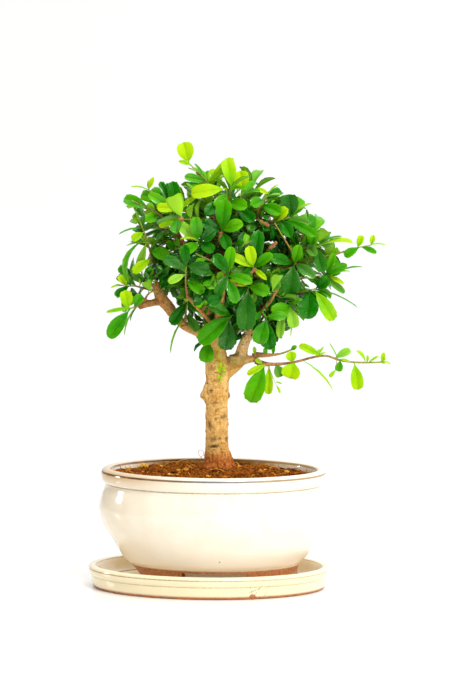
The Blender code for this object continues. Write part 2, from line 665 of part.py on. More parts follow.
def fill_route(index, draw, stems):
    """A twig from the wood out to one of the evenly spread tips."""
    direction = fill_direction(index)
    tip = CROWN_MIDDLE + crown_reach(direction) * draw.uniform(0.76, 0.9)
    tip += Vector((draw.uniform(-4, 4), draw.uniform(-4, 4), draw.uniform(-3, 3)))
    inner = CROWN_MIDDLE.lerp(tip, draw.uniform(0.35, 0.6))
    root = Vector(stems.nearest(inner))
    middle = root.lerp(tip, 0.5) + Vector((draw.uniform(-3, 3), draw.uniform(-3, 3), draw.uniform(-1, 4)))
    return [root, middle, tip]


def fill_leaves(crown, name, stations, draw):
    """Leaves in a spiral along a twig's outer part, with a few round its tip."""
    leaves = []
    turn = draw.uniform(0, 2 * math.pi)
    for index in range(FILL_LEAVES):
        share = 1.0 - FILL_LEAF_SPACING * index
        base, direction = along(stations, share)
        outward = (base - CROWN_MIDDLE).normalized()
        length = draw.uniform(*LEAF_LENGTH_RANGE)
        width = length * draw.uniform(*LEAF_WIDTH_SHARE_RANGE)
        turn += GOLDEN_ANGLE
        side = direction.orthogonal().normalized()
        other = direction.cross(side)
        spread = draw.uniform(*LEAF_SPREAD_RANGE)
        sway = Vector((draw.uniform(-1, 1), draw.uniform(-1, 1), draw.uniform(-1, 1)))

        def make_leaf(attempt):
            angle = turn + attempt * LEAF_TURN_PER_TRY
            size = 1 - LEAF_SHRINK_PER_TRY * attempt
            across = side * math.cos(angle) + other * math.sin(angle)
            heading = direction * math.cos(spread) + across * math.sin(spread) + outward * LEAF_OUTWARD_PULL
            tip = base + heading.normalized() * length * size
            facing = outward + Vector((0, 0, 0.7)) + sway * 0.35
            return Leaf(base, tip, width * size, facing, index % 3 != 2)

        leaf = place_leaf(crown, name, make_leaf, SPIRAL_FOOT_SHARE)
        if leaf:
            leaves.append(leaf)
    return leaves


def grow_plant():
    """Work out the limbs, then every twig, then every leaf, so that none crosses another."""
    limbs = {name: smooth_route(points, LIMB_STEP) for name, points in LIMBS.items()}
    stems = Stems(limbs.values())
    crown = Crown(limbs.values())
    twigs = {}
    for name, (route, rows) in SHOOTS.items():
        twigs[name] = seat_on_wood(route, stems)
        crown.add(name + " twig", tube_shell(twigs[name], SEAT_GAP))
    for index in range(FILL_SHOOTS):
        name = f"fill_{index + 1:02d}"
        draw = random.Random(FILL_SEED * 1000 + index)
        for attempt in range(FILL_TRIES):
            stations = seat_on_wood(fill_route(index, draw, stems), stems)
            shell = tube_shell(stations, SEAT_GAP)
            if crown.is_free(tube_shell(stations[1:], SEAT_GAP)) and crown.is_free(shell, beside="wood"):
                twigs[name] = stations
                crown.add(name + " twig", shell)
                break
    leaves = {name: leaves_of_shoot(crown, name, twigs[name], rows) for name, (route, rows) in SHOOTS.items()}
    for name, stations in twigs.items():
        if name not in leaves:
            leaves[name] = fill_leaves(crown, name, stations, random.Random(name))
    return limbs, twigs, leaves


def clear_scene():
    for leftover in list(bpy.data.objects):
        bpy.data.objects.remove(leftover, do_unlink=True)


def new_collection(name):
    collection = bpy.data.collections.new(name)
    bpy.context.scene.collection.children.link(collection)
    return collection


def plain_material(name, colour, roughness, metallic=0.0):
    material = bpy.data.materials.new(name)
    material.use_nodes = True
    shader = material.node_tree.nodes["Principled BSDF"]
    shader.inputs["Base Color"].default_value = (*colour, 1.0)
    shader.inputs["Roughness"].default_value = roughness
    shader.inputs["Metallic"].default_value = metallic
    return material


def mesh_object(name, points, edges, faces, collection):
    mesh = bpy.data.meshes.new(name)
    mesh.from_pydata([Vector(point) * MM for point in points], edges, faces)
    mesh.update()
    obj = bpy.data.objects.new(name, mesh)
    collection.objects.link(obj)
    return obj


def settled(obj, weld=1e-6):
    """Replace an object by the plain closed mesh that it evaluates to, with its faces out."""
    depsgraph = bpy.context.evaluated_depsgraph_get()
    mesh = bpy.data.meshes.new_from_object(obj.evaluated_get(depsgraph))
    body = bmesh.new()
    body.from_mesh(mesh)
    bmesh.ops.remove_doubles(body, verts=body.verts, dist=weld)
    bmesh.ops.recalc_face_normals(body, faces=body.faces)
    body.to_mesh(mesh)
    body.free()
    result = bpy.data.objects.new(obj.name + "_settled", mesh)
    for collection in obj.users_collection:
        collection.objects.link(result)
    name = obj.name
    bpy.data.objects.remove(obj, do_unlink=True)
    result.name = name
    mesh.name = name
    return result


def turned(name, outline, collection):
    """Turn an outline round the upright axis, then narrow it to the oval plan."""
    points = [(radius, 0.0, height) for radius, height in outline]
    edges = [(i, i + 1) for i in range(len(points) - 1)]
    obj = mesh_object(name, points, edges, [], collection)
    screw = obj.modifiers.new("turn", "SCREW")
    screw.steps = OVAL_STEPS
    screw.render_steps = OVAL_STEPS
    screw.use_merge_vertices = True
    screw.merge_threshold = 0.00001
    obj = settled(obj)
    for vertex in obj.data.vertices:
        vertex.co.y *= OVAL_DEPTH
    return obj


def tube(name, stations, roundness, collection):
    """A tapered tube with closed ends through (x, y, z, radius) stations."""
    curve = bpy.data.curves.new(name, "CURVE")
    curve.dimensions = "3D"
    curve.bevel_depth = MM
    curve.bevel_resolution = roundness
    curve.use_fill_caps = True
    spline = curve.splines.new("POLY")
    spline.points.add(len(stations) - 1)
    for point, station in zip(spline.points, stations):
        point.co = (*(station[:3] * MM), 1.0)
        point.radius = float(station[3])
    obj = bpy.data.objects.new(name, curve)
    collection.objects.link(obj)
    return settled(obj)


def cut(target, cutter):
    """Take a cutter away from a piece, and drop the cutter."""
    modifier = target.modifiers.new("cut", "BOOLEAN")
    modifier.operation = "DIFFERENCE"
    modifier.object = cutter
    target = settled(target)
    bpy.data.objects.remove(cutter, do_unlink=True)
    return target


def keep_one_body(obj):
    """Drop loose scraps and sealed hollows: only the largest connected shell stays."""
    body = bmesh.new()
    body.from_mesh(obj.data)
    left = set(body.verts)
    islands = []
    while left:
        island = set()
        front = [left.pop()]
        while front:
            vertex = front.pop()
            island.add(vertex)
            for edge in vertex.link_edges:
                other = edge.other_vert(vertex)
                if other in left:
                    left.discard(other)
                    front.append(other)
        islands.append(island)
    islands.sort(key=len)
    for island in islands[:-1]:
        bmesh.ops.delete(body, geom=list(island), context="VERTS")
    body.to_mesh(obj.data)
    body.free()


def fuse(base, others, collection):
    """Join pieces to the base by one Boolean union on a collection, then drop the pieces."""
    operands = new_collection(base.name + "_pieces")
    for piece in others:
        operands.objects.link(piece)
        collection.objects.unlink(piece)
    modifier = base.modifiers.new("fuse", "BOOLEAN")
    modifier.operation = "UNION"
    modifier.operand_type = "COLLECTION"
    modifier.collection = operands
    modifier.solver = "MANIFOLD"
    base = settled(base)
    for piece in others:
        bpy.data.objects.remove(piece, do_unlink=True)
    bpy.data.collections.remove(operands)
    keep_one_body(base)
    return base


def finished(obj, material, sharp=SHARP_ANGLE):
    """Give a piece its material and smooth shading with its real edges kept sharp."""
    obj.data.materials.append(material)
    obj.data.shade_smooth()
    obj.data.set_sharp_from_angle(angle=sharp)
    return obj


def build_tray(collection):
    tray = turned("drip_tray", TRAY_OUTLINE, collection)
    return finished(tray, plain_material("cream_glaze_tray", (0.80, 0.70, 0.52), 0.2))


def box_cutter(name, size, middle, collection):
    bpy.ops.mesh.primitive_cube_add(size=1.0, location=[value * MM for value in middle])
    cutter = bpy.context.active_object
    cutter.name = name
    cutter.scale = [value * MM for value in size]
    return stow_cutter(cutter, collection)


def round_cutter(name, radius, heights, x, sides, collection):
    bottom, top = heights
    middle = (x * MM, 0, (top + bottom) / 2 * MM)
    bpy.ops.mesh.primitive_cylinder_add(
        vertices=sides, radius=radius * MM, depth=(top - bottom) * MM, location=middle
    )
    cutter = bpy.context.active_object
    cutter.name = name
    return stow_cutter(cutter, collection)


def stow_cutter(cutter, collection):
    for home in list(cutter.users_collection):
        home.objects.unlink(cutter)
    collection.objects.link(cutter)
    cutter.hide_render = True
    cutter.display_type = "WIRE"
    return cutter


def press_uneven(obj):
    """Move a piece to the pot's place and give it the pot's low bulge and leaning foot."""
    for vertex in obj.data.vertices:
        x, y, z = vertex.co / MM
        away = (z - LOW_BULGE_HEIGHT) / LOW_BULGE_SPREAD
        bulge = LOW_BULGE * max(0.0, x / BULGE_REACH) * math.exp(-away * away)
        lean = FOOT_LEAN * min(1.0, max(0.0, (FOOT_LEAN_TOP - z) / FOOT_LEAN_RISE))
        vertex.co.x += (POT_SHIFT + bulge + lean) * MM


def build_pot(collection, cutters):
    pot = turned("pot", POT_OUTLINE, collection)
    gap_size = (FOOT_GAP_WIDTH, 200.0, FOOT_GAP_HEIGHT * 2)
    pot = cut(pot, box_cutter("foot_gap", gap_size, (FOOT_GAP_SHIFT, 0, POT_FOOT_HEIGHT), cutters))
    through_floor = (POT_FOOT_HEIGHT, POT_FLOOR_TOP + 4)
    for side in (-1, 1):
        x = side * DRAIN_SPACING / 2
        pot = cut(pot, round_cutter("drain", DRAIN_RADIUS, through_floor, x, DRAIN_SIDES, cutters))
    press_uneven(pot)
    return finished(pot, plain_material("cream_glaze_pot", (0.85, 0.76, 0.60), 0.15))


def soil_height(x, y, share):
    """Height of the soil's surface: heaped in the middle, with small lumps."""
    heap = SOIL_EDGE_HEIGHT + (SOIL_HEAP_HEIGHT - SOIL_EDGE_HEIGHT) * max(0.0, 1 - share) ** SOIL_HEAP_POWER
    lumps = math.sin(0.31 * x + 1.3) * math.cos(0.37 * y) + 0.6 * math.sin(0.7 * x - 0.5 * y)
    return heap + SOIL_LUMP * lumps


def build_soil(collection, cutters):
    edge = SOIL_SIDE_POINTS[-1][0] - SOIL_SIDE_GAP
    rings = [(edge * share, SOIL_EDGE_HEIGHT) for share in reversed(SOIL_RING_SHARES)]
    side = [(radius - SOIL_SIDE_GAP, height + SEAT_GAP) for radius, height in reversed(SOIL_SIDE_POINTS)]
    bottom = side[-1][1]
    outline = [(0.0, SOIL_EDGE_HEIGHT)] + rings + [(edge, SOIL_EDGE_HEIGHT)] + side + [(0.0, bottom)]
    soil = turned("soil", outline, collection)
    for vertex in soil.data.vertices:
        x, y, z = vertex.co / MM
        if z > SOIL_EDGE_HEIGHT - 0.1:
            share = math.hypot(x, y / OVAL_DEPTH) / edge
            vertex.co.z = soil_height(x, y, share) * MM
    press_uneven(soil)
    through_top = (HOLE_BOTTOM, SOIL_HEAP_HEIGHT + 20)
    hole = round_cutter("hole", STUMP_RADIUS + SEAT_GAP, through_top, TRUNK_X, HOLE_SIDES, cutters)
    soil = cut(soil, hole)
    return finished(soil, plain_material("potting_soil", (0.09, 0.035, 0.012), 0.95))


def build_wood(limbs, collection):
    tubes = []
    for name, stations in limbs.items():
        roundness = TRUNK_ROUNDNESS if name == "trunk" else LIMB_ROUNDNESS
        tubes.append(tube("limb_" + name, stations, roundness, collection))
    wood = fuse(tubes[0], tubes[1:], collection)
    wood.name = "trunk_and_limbs"
    return finished(wood, plain_material("pale_bark", (0.55, 0.34, 0.14), 0.8))


def build_shoot(name, stations, leaves, collection):
    """A twig and its leaves, fused."""
    twig = tube("shoot_" + name, stations, 0, collection)
    blades = []
    for index, leaf in enumerate(leaves):
        points, faces = leaf.solid()
        blade = mesh_object(f"leaf_{index}", points, [], faces, collection)
        blades.append(settled(blade))
    shoot = fuse(twig, blades, collection)
    return finished(shoot, plain_material("leaves_" + name, (0.05, 0.30, 0.02), 0.35))


def main():
    clear_scene()
    parts = new_collection(OBJECT_NAME)
    cutters = new_collection("cutters")
    build_tray(parts)
    build_pot(parts, cutters)
    build_soil(parts, cutters)
    limbs, twigs, leaves = grow_plant()
    build_wood(limbs, parts)
    for name, stations in twigs.items():
        build_shoot(name, stations, leaves[name], parts)


main()
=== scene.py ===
# %% [markdown]
# # A fukien tea bonsai in its glazed pot
# The tree is a young trunk with a round crown of small glossy leaves, planted in an oval
# stoneware pot that stands on its own tray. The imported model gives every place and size, and this
# script gives the looks. Each step says what the real thing is and how it is made here.

# %% The frame
import json
import math
import random
import bmesh
import bpy
import numpy as np
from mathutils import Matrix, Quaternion, Vector, noise
from mathutils.bvhtree import BVHTree

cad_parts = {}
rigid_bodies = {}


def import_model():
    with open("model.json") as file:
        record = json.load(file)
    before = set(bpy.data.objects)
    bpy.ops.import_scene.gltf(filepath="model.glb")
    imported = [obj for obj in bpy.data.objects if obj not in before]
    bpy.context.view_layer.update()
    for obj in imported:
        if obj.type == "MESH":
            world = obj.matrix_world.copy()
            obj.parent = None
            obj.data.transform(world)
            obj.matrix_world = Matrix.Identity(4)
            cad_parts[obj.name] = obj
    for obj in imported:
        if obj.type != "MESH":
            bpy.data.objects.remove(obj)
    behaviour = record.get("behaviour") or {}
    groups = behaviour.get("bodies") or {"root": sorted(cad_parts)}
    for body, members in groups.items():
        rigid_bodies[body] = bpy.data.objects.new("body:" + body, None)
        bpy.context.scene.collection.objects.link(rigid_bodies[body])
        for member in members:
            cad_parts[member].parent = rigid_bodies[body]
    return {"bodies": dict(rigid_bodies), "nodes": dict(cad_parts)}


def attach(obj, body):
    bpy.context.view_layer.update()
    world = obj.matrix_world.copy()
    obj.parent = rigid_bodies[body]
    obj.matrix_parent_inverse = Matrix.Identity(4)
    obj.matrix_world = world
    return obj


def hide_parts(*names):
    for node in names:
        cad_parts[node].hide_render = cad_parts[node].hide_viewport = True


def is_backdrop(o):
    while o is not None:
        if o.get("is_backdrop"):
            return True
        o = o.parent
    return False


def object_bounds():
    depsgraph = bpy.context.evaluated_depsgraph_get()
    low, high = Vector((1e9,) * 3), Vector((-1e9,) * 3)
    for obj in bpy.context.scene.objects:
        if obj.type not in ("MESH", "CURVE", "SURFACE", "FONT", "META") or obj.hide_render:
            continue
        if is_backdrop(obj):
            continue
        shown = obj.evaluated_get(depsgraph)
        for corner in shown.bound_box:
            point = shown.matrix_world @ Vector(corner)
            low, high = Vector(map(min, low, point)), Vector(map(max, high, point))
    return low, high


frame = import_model()
cad_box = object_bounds()
MM = 0.001
print("bodies", sorted(frame["bodies"]), "and", len(frame["nodes"]), "nodes")
print("size in mm", [round(side / MM, 1) for side in cad_box[1] - cad_box[0]])

# %% [markdown]
# Colours are written as the hex codes that a paint chart gives. Those are made for screens, so one
# function turns each into the linear light that the renderer adds up.

# %% Colours
def linear(code):
    """A hex colour as linear red, green, blue and full alpha."""
    shares = [int(code[i:i + 2], 16) / 255 for i in (1, 3, 5)]
    return (*[s / 12.92 if s <= 0.04045 else ((s + 0.055) / 1.055) ** 2.4 for s in shares], 1.0)


# %% [markdown]
# Materials and Geometry Nodes are both trees of small nodes. One helper adds a node, sets what it
# is told, links what it is given and hands back an output as a signal. Signals can stand in a sum,
# so the trees below read as plain formulas, and each sign in them adds one math node.

# %% Adding nodes
def add(tree, kind, sockets=(), output=0, **settings):
    """Add a node; signals get linked, hex codes become colours, the rest is set."""
    node = tree.nodes.new(kind)
    for name, value in settings.items():
        setattr(node, name, value)
    for name, value in dict(sockets).items():
        if isinstance(value, Signal):
            tree.links.new(value.socket, node.inputs[name])
        else:
            node.inputs[name].default_value = linear(value) if str(value).startswith("#") else value
    return node if output is None else Signal(node.outputs[output])


class Signal:
    """A node's output that can be written in sums. A vector unpacks into its three parts."""

    def __init__(self, socket):
        self.socket = socket
        self.tree = socket.id_data
        self.is_vector = socket.type == "VECTOR"

    def step(self, operation, other=0.0):
        kind = "ShaderNodeVectorMath" if self.is_vector else "ShaderNodeMath"
        return add(self.tree, kind, {0: self, 1: other}, operation=operation)

    def __add__(self, other):
        return self.step("ADD", other)

    def __sub__(self, other):
        return self.step("SUBTRACT", other)

    def __truediv__(self, other):
        return self.step("DIVIDE", other)

    def __mul__(self, other):
        if not self.is_vector:
            return self.step("MULTIPLY", other)
        return add(self.tree, "ShaderNodeVectorMath", {0: self, "Scale": other}, operation="SCALE")

    def __iter__(self):
        parts = add(self.tree, "ShaderNodeSeparateXYZ", {0: self}, None)
        return iter([Signal(part) for part in parts.outputs])


# %% [markdown]
# A finish is built up as a painter does it, coat over coat. Each coat has a colour, a strength, and
# limits: a signal with the two values between which it lets the coat come in. A pattern's scale is
# given as the real size of its lumps.

# %% Coats of colour
def shown(strength, *limits):
    """A strength times how far each signal has come from its low value to its high one."""
    for value, low, high in limits:
        strength = add(value.tree, "ShaderNodeMapRange", {0: value, 1: low, 2: high, 4: strength})
    return strength


def painted(colour, *coats):
    """Lay coats over a colour. Each is a colour, a strength and limits as for shown."""
    for coat, strength, *limits in coats:
        share = shown(strength, *limits)
        colour = add(share.tree, "ShaderNodeMix", {0: share, 6: colour, 7: coat}, 2, data_type="RGBA")
    return colour


def pattern(place, size, kind="Noise", output="Fac", **sockets):
    """Noise, or Voronoi cells, with lumps of about size millimetres."""
    usual = {"Detail": 3.0, "Roughness": 0.55} if kind == "Noise" else {}
    sockets = {"Vector": place, "Scale": 1 / (size * MM), **usual, **sockets}
    return add(place.tree, "ShaderNodeTex" + kind, sockets, output)


def feed(node, **signals):
    for name, signal in signals.items():
        node.id_data.links.new(signal.socket, node.inputs[name.replace("_", " ")])


def new_material(name, **values):
    """A material, with steady values set on its shader's own sockets, and its object's coordinates."""
    material = bpy.data.materials.new(name)
    material.use_nodes = True
    shader = material.node_tree.nodes["Principled BSDF"]
    for socket, value in values.items():
        shader.inputs[socket.replace("_", " ")].default_value = value
    place = add(material.node_tree, "ShaderNodeTexCoord", output="Object")
    return material, material.node_tree, shader, place


def finish(shader, colour, relief, strength, depth):
    """Give a shader its colour and a relief that is about depth millimetres deep."""
    bump = add(shader.id_data, "ShaderNodeBump", {
        "Height": relief, "Strength": strength, "Distance": depth * MM})
    feed(shader, Base_Color=colour, Normal=bump)


# %% [markdown]
# The photograph was taken from a little above the rim of the pot, from some metres away, with a
# long lens. That flattens the ovals of pot and tray. A camera far off with a long lens does the
# same, and a turn of half a degree puts the ground line where the picture has it.

# %% Camera
CAMERA_PLACE = Vector((10.0, -3300.0, 503.0))
CAMERA_AIM = Vector((10.0, 0.0, 178.6))
CAMERA_LENS = 249.0
CAMERA_ROLL = math.radians(0.5)


def put_in_scene(name, data, place=(0, 0, 0), aim=None, roll=0.0):
    """An object for some data, at a place in millimetres, and turned to face its aim."""
    obj = bpy.data.objects.new(name, data)
    bpy.context.scene.collection.objects.link(obj)
    if aim:
        obj.location = Vector(place) * MM
        obj.rotation_mode = "QUATERNION"
        look = (Vector(aim) - Vector(place)).to_track_quat("-Z", "Y")
        obj.rotation_quaternion = look @ Quaternion((0.0, 0.0, 1.0), roll)
    return obj


lens = bpy.data.cameras.new("camera")
lens.lens = CAMERA_LENS
lens.sensor_width = 36.0
lens.clip_end = 100.0
bpy.context.scene.camera = put_in_scene("camera", lens, CAMERA_PLACE, CAMERA_AIM, CAMERA_ROLL)
print("camera distance in mm", round((CAMERA_AIM - CAMERA_PLACE).length))

# %% [markdown]
# The studio is all white: a bright sky, a wide soft light from the front right, one from above,
# a low one that lights the underside of the bowl, and a small window at the left that leaves its
# shape on the glaze. The floor is a plain white board with a slight gloss. The plain view
# transform keeps whites white.

# %% Floor and light
def softbox(name, place, aim, size, watts, colour="#FFFFFF"):
    light = bpy.data.lights.new(name, "AREA")
    light.shape = "RECTANGLE"
    light.size, light.size_y = (side * MM for side in size)
    light.energy = watts
    light.color = linear(colour)[:3]
    put_in_scene(name, light, place, aim)


bpy.context.scene.view_settings.view_transform = "Standard"
world = bpy.data.worlds.new("white_studio")
bpy.context.scene.world = world
world.use_nodes = True
tree = world.node_tree
to_right, to_back, upward = add(tree, "ShaderNodeTexCoord", output="Generated")
glow = shown(1.25, (upward, 0.0, 1.0)) + shown(0.54, (to_back, -0.5, 0.9))
glow = (glow + shown(1.12, (to_right, -1.0, 0.5)) - 0.54).step("MAXIMUM", 0.06)
seen = add(tree, "ShaderNodeLightPath", output="Is Camera Ray")
strength = add(tree, "ShaderNodeMix", {0: seen, 2: glow, 3: 1.0}, data_type="FLOAT")
feed(tree.nodes["Background"], Strength=strength)
tree.nodes["Background"].inputs["Color"].default_value = linear("#FFFFFF")
softbox("front_right", (1300, -1500, 1300), (0, 0, 150), (900, 900), 7)
softbox("high_front", (450, -1200, 1400), (0, 0, 200), (400, 300), 15)
softbox("left_window", (-1380, 266, 371), (-60, 0, 60), (210, 150), 4)
softbox("low_front", (380, -1450, 110), (0, 0, 20), (1100, 150), 1.9, "#FFF4E6")

bpy.ops.mesh.primitive_plane_add(size=80.0)
floor = bpy.context.active_object
floor.name = "floor"
floor.data.materials.append(new_material(
    "white_board", Base_Color=linear("#F3F3F1"), Roughness=0.22, Specular_IOR_Level=0.25)[0])
floor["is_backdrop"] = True

# %% [markdown]
# Modifiers and node trees are only recipes until they are evaluated. One helper reads the result
# as a plain mesh and drops the recipe, so what is kept is just faces. Rings of points, one inside
# or above the other, are skinned by another, which serves the pot, the tray, the soil and fibres.

# %% Plain meshes
def finished_mesh(name, body):
    """Turn a bmesh into an object whose place is all in its mesh."""
    mesh = bpy.data.meshes.new(name)
    body.to_mesh(mesh)
    body.free()
    return put_in_scene(name, mesh)


def settled(obj):
    name = obj.name
    result = bpy.data.meshes.new_from_object(obj.evaluated_get(bpy.context.evaluated_depsgraph_get()))
    bpy.data.objects.remove(obj, do_unlink=True)
    result.name = name
    return put_in_scene(name, result)


def skinned(name, rings):
    """A closed body through rings of points in millimetres. A ring at an end may be one point."""
    body = bmesh.new()
    count = max(map(len, rings))
    loops = []
    for ring in rings:
        corners = [body.verts.new([part * MM for part in point]) for point in ring]
        loops.append(corners * (count // len(corners)))
    for near, far in zip(loops, loops[1:]):
        for side in range(count):
            after = (side + 1) % count
            body.faces.new(list(dict.fromkeys((near[side], far[side], far[after], near[after]))))
    for loop in (loops[0], loops[-1]):
        if len(set(loop)) > 1:
            body.faces.new(loop)
    bmesh.ops.recalc_face_normals(body, faces=body.faces)
    return finished_mesh(name, body)


def cut(obj, middle, size, round_sides=0):
    """Cut a box, or a round hole, out of a piece."""
    if round_sides:
        bpy.ops.mesh.primitive_cylinder_add(
            vertices=round_sides, radius=size[0] * MM, depth=size[2] * MM, location=Vector(middle) * MM)
    else:
        bpy.ops.mesh.primitive_cube_add(size=1.0, location=Vector(middle) * MM)
        bpy.context.active_object.scale = Vector(size) * MM
    cutter = bpy.context.active_object
    modifier = obj.modifiers.new("cut", "BOOLEAN")
    modifier.operation = "DIFFERENCE"
    modifier.object = cutter
    obj = settled(obj)
    bpy.data.objects.remove(cutter, do_unlink=True)
    return obj


def triangles(obj):
    return sum(len(face.vertices) - 2 for face in obj.data.polygons)


def hand_over(obj, node=None, sharp=40.0, material=None):
    """Finish a piece: its smooth faces, its material, and what the frame has to know of it."""
    if material:
        obj.data.materials.clear()
        obj.data.materials.append(material)
    obj.data.shade_smooth()
    obj.data.set_sharp_from_angle(angle=math.radians(sharp))
    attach(obj, "root")
    if node:
        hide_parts(node)
    print(obj.name, triangles(obj), "triangles")


# %% [markdown]
# Pot and tray are stoneware, pressed or turned to an oval, dipped in a cream glaze and fired. An
# outline that is turned round an upright axis and then narrowed gives the same oval. The outline's
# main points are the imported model's, and a smooth curve runs through them between the corners.

# %% Turned shapes
OVAL_DEPTH = 0.78
OVAL_TURNS = [2 * math.pi * side / 176 for side in range(176)]


def smooth_route(points, step):
    """Read evenly spaced stations from a smooth curve through the route's own points."""
    rows = [np.array(point, dtype=float) for point in points]
    rows = [2 * rows[0] - rows[1]] + rows + [2 * rows[-1] - rows[-2]]
    stations = [rows[1]]
    for before, start, end, after in zip(rows, rows[1:], rows[2:], rows[3:]):
        pieces = max(1, round(float(np.linalg.norm((end - start)[:3])) / step))
        for piece in range(1, pieces + 1):
            t = piece / pieces
            stations.append(
                0.5 * (2 * start + (end - before) * t + (2 * before - 5 * start + 4 * end - after) * t ** 2
                       + (3 * start - before - 3 * end + after) * t ** 3))
    return stations


def turned_oval(name, curves, step, shift):
    """Turn an outline, given as curves that meet at corners, into a closed oval body."""
    outline = [row for curve in curves for row in smooth_route(curve, step)[:-1]] + [curves[-1][-1]]
    return skinned(name, [
        [(shift + radius * math.cos(a), radius * OVAL_DEPTH * math.sin(a), height)
         for a in (OVAL_TURNS if radius > 0.01 else (0.0,))] for radius, height in outline])


# %% [markdown]
# The pot has a rolled lip, a narrow groove under it, a full belly and a bare foot ring that is cut
# away in the middle of each side so that water can leave. Two holes go through the floor.

# %% Pot
POT_SHIFT = 2.8
POT_FOOT_HEIGHT = 5.8
POT_CURVES = (
    ((0, 21.5), (50, 22), (68, 36), (75.5, 54), (72.3, 71), (72.8, 80.5), (73.3, 83.9), (75.0, 85.3),
     (77.6, 85.2), (79.5, 83.9), (79.95, 82.9), (80.3, 81.8), (80.4, 79.4), (80.0, 77.0), (79.0, 75.4),
     (77.4, 74.6)),
    ((77.4, 74.6), (77.9, 71.6), (79.6, 67.0), (81.2, 60.5), (81.5, 54.5), (78.3, 44.5), (71.6, 33.5),
     (64.6, 22.4), (62.4, 19.6), (60.2, 18.2)),
    ((60.2, 18.2), (57.0, 11.5), (54.4, POT_FOOT_HEIGHT)),
    ((54.4, POT_FOOT_HEIGHT), (48.5, POT_FOOT_HEIGHT)),
    ((48.5, POT_FOOT_HEIGHT), (47.5, 16)),
    ((47.5, 16), (0, 16)),
)
pot = turned_oval("glazed_pot", POT_CURVES, 1.6, POT_SHIFT)
pot = cut(pot, (POT_SHIFT - 1.1, 0, 9.4), (46, 200, 12))
for side in (-1, 1):
    pot = cut(pot, (POT_SHIFT + side * 22, 0, 18), (6, 6, 20), round_sides=32)

# %% [markdown]
# A pot that is pressed by hand is never quite even. This one bulges lower on its right side, and
# its foot stands a little to the right.

# %% Uneven belly
def clamped(value):
    return min(1, max(0, value))


def uneven(x, z):
    """How far the pot leans and bulges to the right, at x from its middle and height z."""
    return 4.2 * max(0.0, x / 80) * math.exp(-((z - 32) / 11) ** 2) + 4.0 * clamped((20 - z) / 11)


for vertex in pot.data.vertices:
    x, y, z = vertex.co / MM
    swell = 0.35 * noise.noise(Vector((x / 30, y / 30, z / 22))) * clamped((z - 19) / 10)
    vertex.co.x += (uneven(x - POT_SHIFT, z) + swell * (x - POT_SHIFT) / 80) * MM
    vertex.co.y += swell * y / 62 * MM

# %% [markdown]
# The tray is a shallow saucer with the same rolled edge. Its underside and the line that it stands
# on are left without glaze, or it would stick to the kiln shelf.

# %% Tray
TRAY_CURVES = (
    ((0, 5.5), (70, 5.5), (74.5, 5.9), (77.2, 8.9), (78.9, 12.6), (80.2, 15.0), (82.2, 16.0), (84.3, 15.8),
     (85.7, 14.6), (85.9, 12.4), (85.4, 10.4), (84.9, 9.3), (84.0, 8.7)),
    ((84.0, 8.7), (83.6, 5.0), (82.7, 1.4)),
    ((82.7, 1.4), (82.0, 0.4), (80.6, 0.0)),
    ((80.6, 0.0), (0, 0.0)),
)
tray = turned_oval("glazed_tray", TRAY_CURVES, 1.3, 0.0)

# %% [markdown]
# Stoneware glaze is glass: thick and cream where it lies, thin and brown where it runs off an edge,
# with pinholes where gas left it. Both pieces carry masks for that. One says how thin the glaze is,
# from how far a point lies from the edges of the outline, one says where the clay is bare, and one
# marks the pot's inner wall.

# %% Glaze masks
def set_mask(obj, name, values):
    values = np.asarray(values, dtype=np.float32)
    kind, field = ("FLOAT", "value") if values.ndim == 1 else ("FLOAT_VECTOR", "vector")
    obj.data.attributes.new(name, kind, "POINT").data.foreach_set(field, values.ravel())


def mesh_points(obj):
    """The points of a mesh in millimetres."""
    points = np.empty(len(obj.data.vertices) * 3)
    obj.data.vertices.foreach_get("co", points)
    return points.reshape(-1, 3) / MM


def glaze_masks(obj, shift, edges, foot, well):
    """Edges are (radius, height, spread, strength), foot and well are the limits of bare clay."""
    x, y, z = mesh_points(obj).T
    radius = np.hypot(x - shift, y / OVAL_DEPTH)
    thin = np.zeros(len(z))
    for edge_radius, height, spread, strength in edges:
        distance = np.hypot(radius - edge_radius, z - height)
        thin = np.maximum(thin, strength * np.exp(-(distance / spread) ** 2))
    set_mask(obj, "thin", thin)
    (line, width), (well_height, well_radius) = foot, well
    outside = np.clip((line - z) / width + 0.5, 0, 1) * (radius > well_radius)
    set_mask(obj, "bare", outside + (radius <= well_radius) * (z < well_height))
    set_mask(obj, "inner", np.clip((75.2 - radius) / 1.6, 0, 1) * (z > 40) * (z < 84.8))


glaze_masks(
    pot, POT_SHIFT,
    ((73.3, 83.9, 1.2, 1.15), (79.95, 82.9, 0.9, 1.3), (77.4, 74.6, 1.0, 0.74), (60.6, 18.4, 1.2, 0.5)),
    (18.0, 0.3), (16.5, 51.0))
glaze_masks(
    tray, 0.0,
    ((80.4, 15.3, 1.0, 0.85), (85.9, 13.6, 0.9, 0.75), (84.0, 8.8, 1.2, 0.6), (76.0, 7.0, 1.6, 0.45)),
    (1.7, 0.5), (2.0, 79.0))
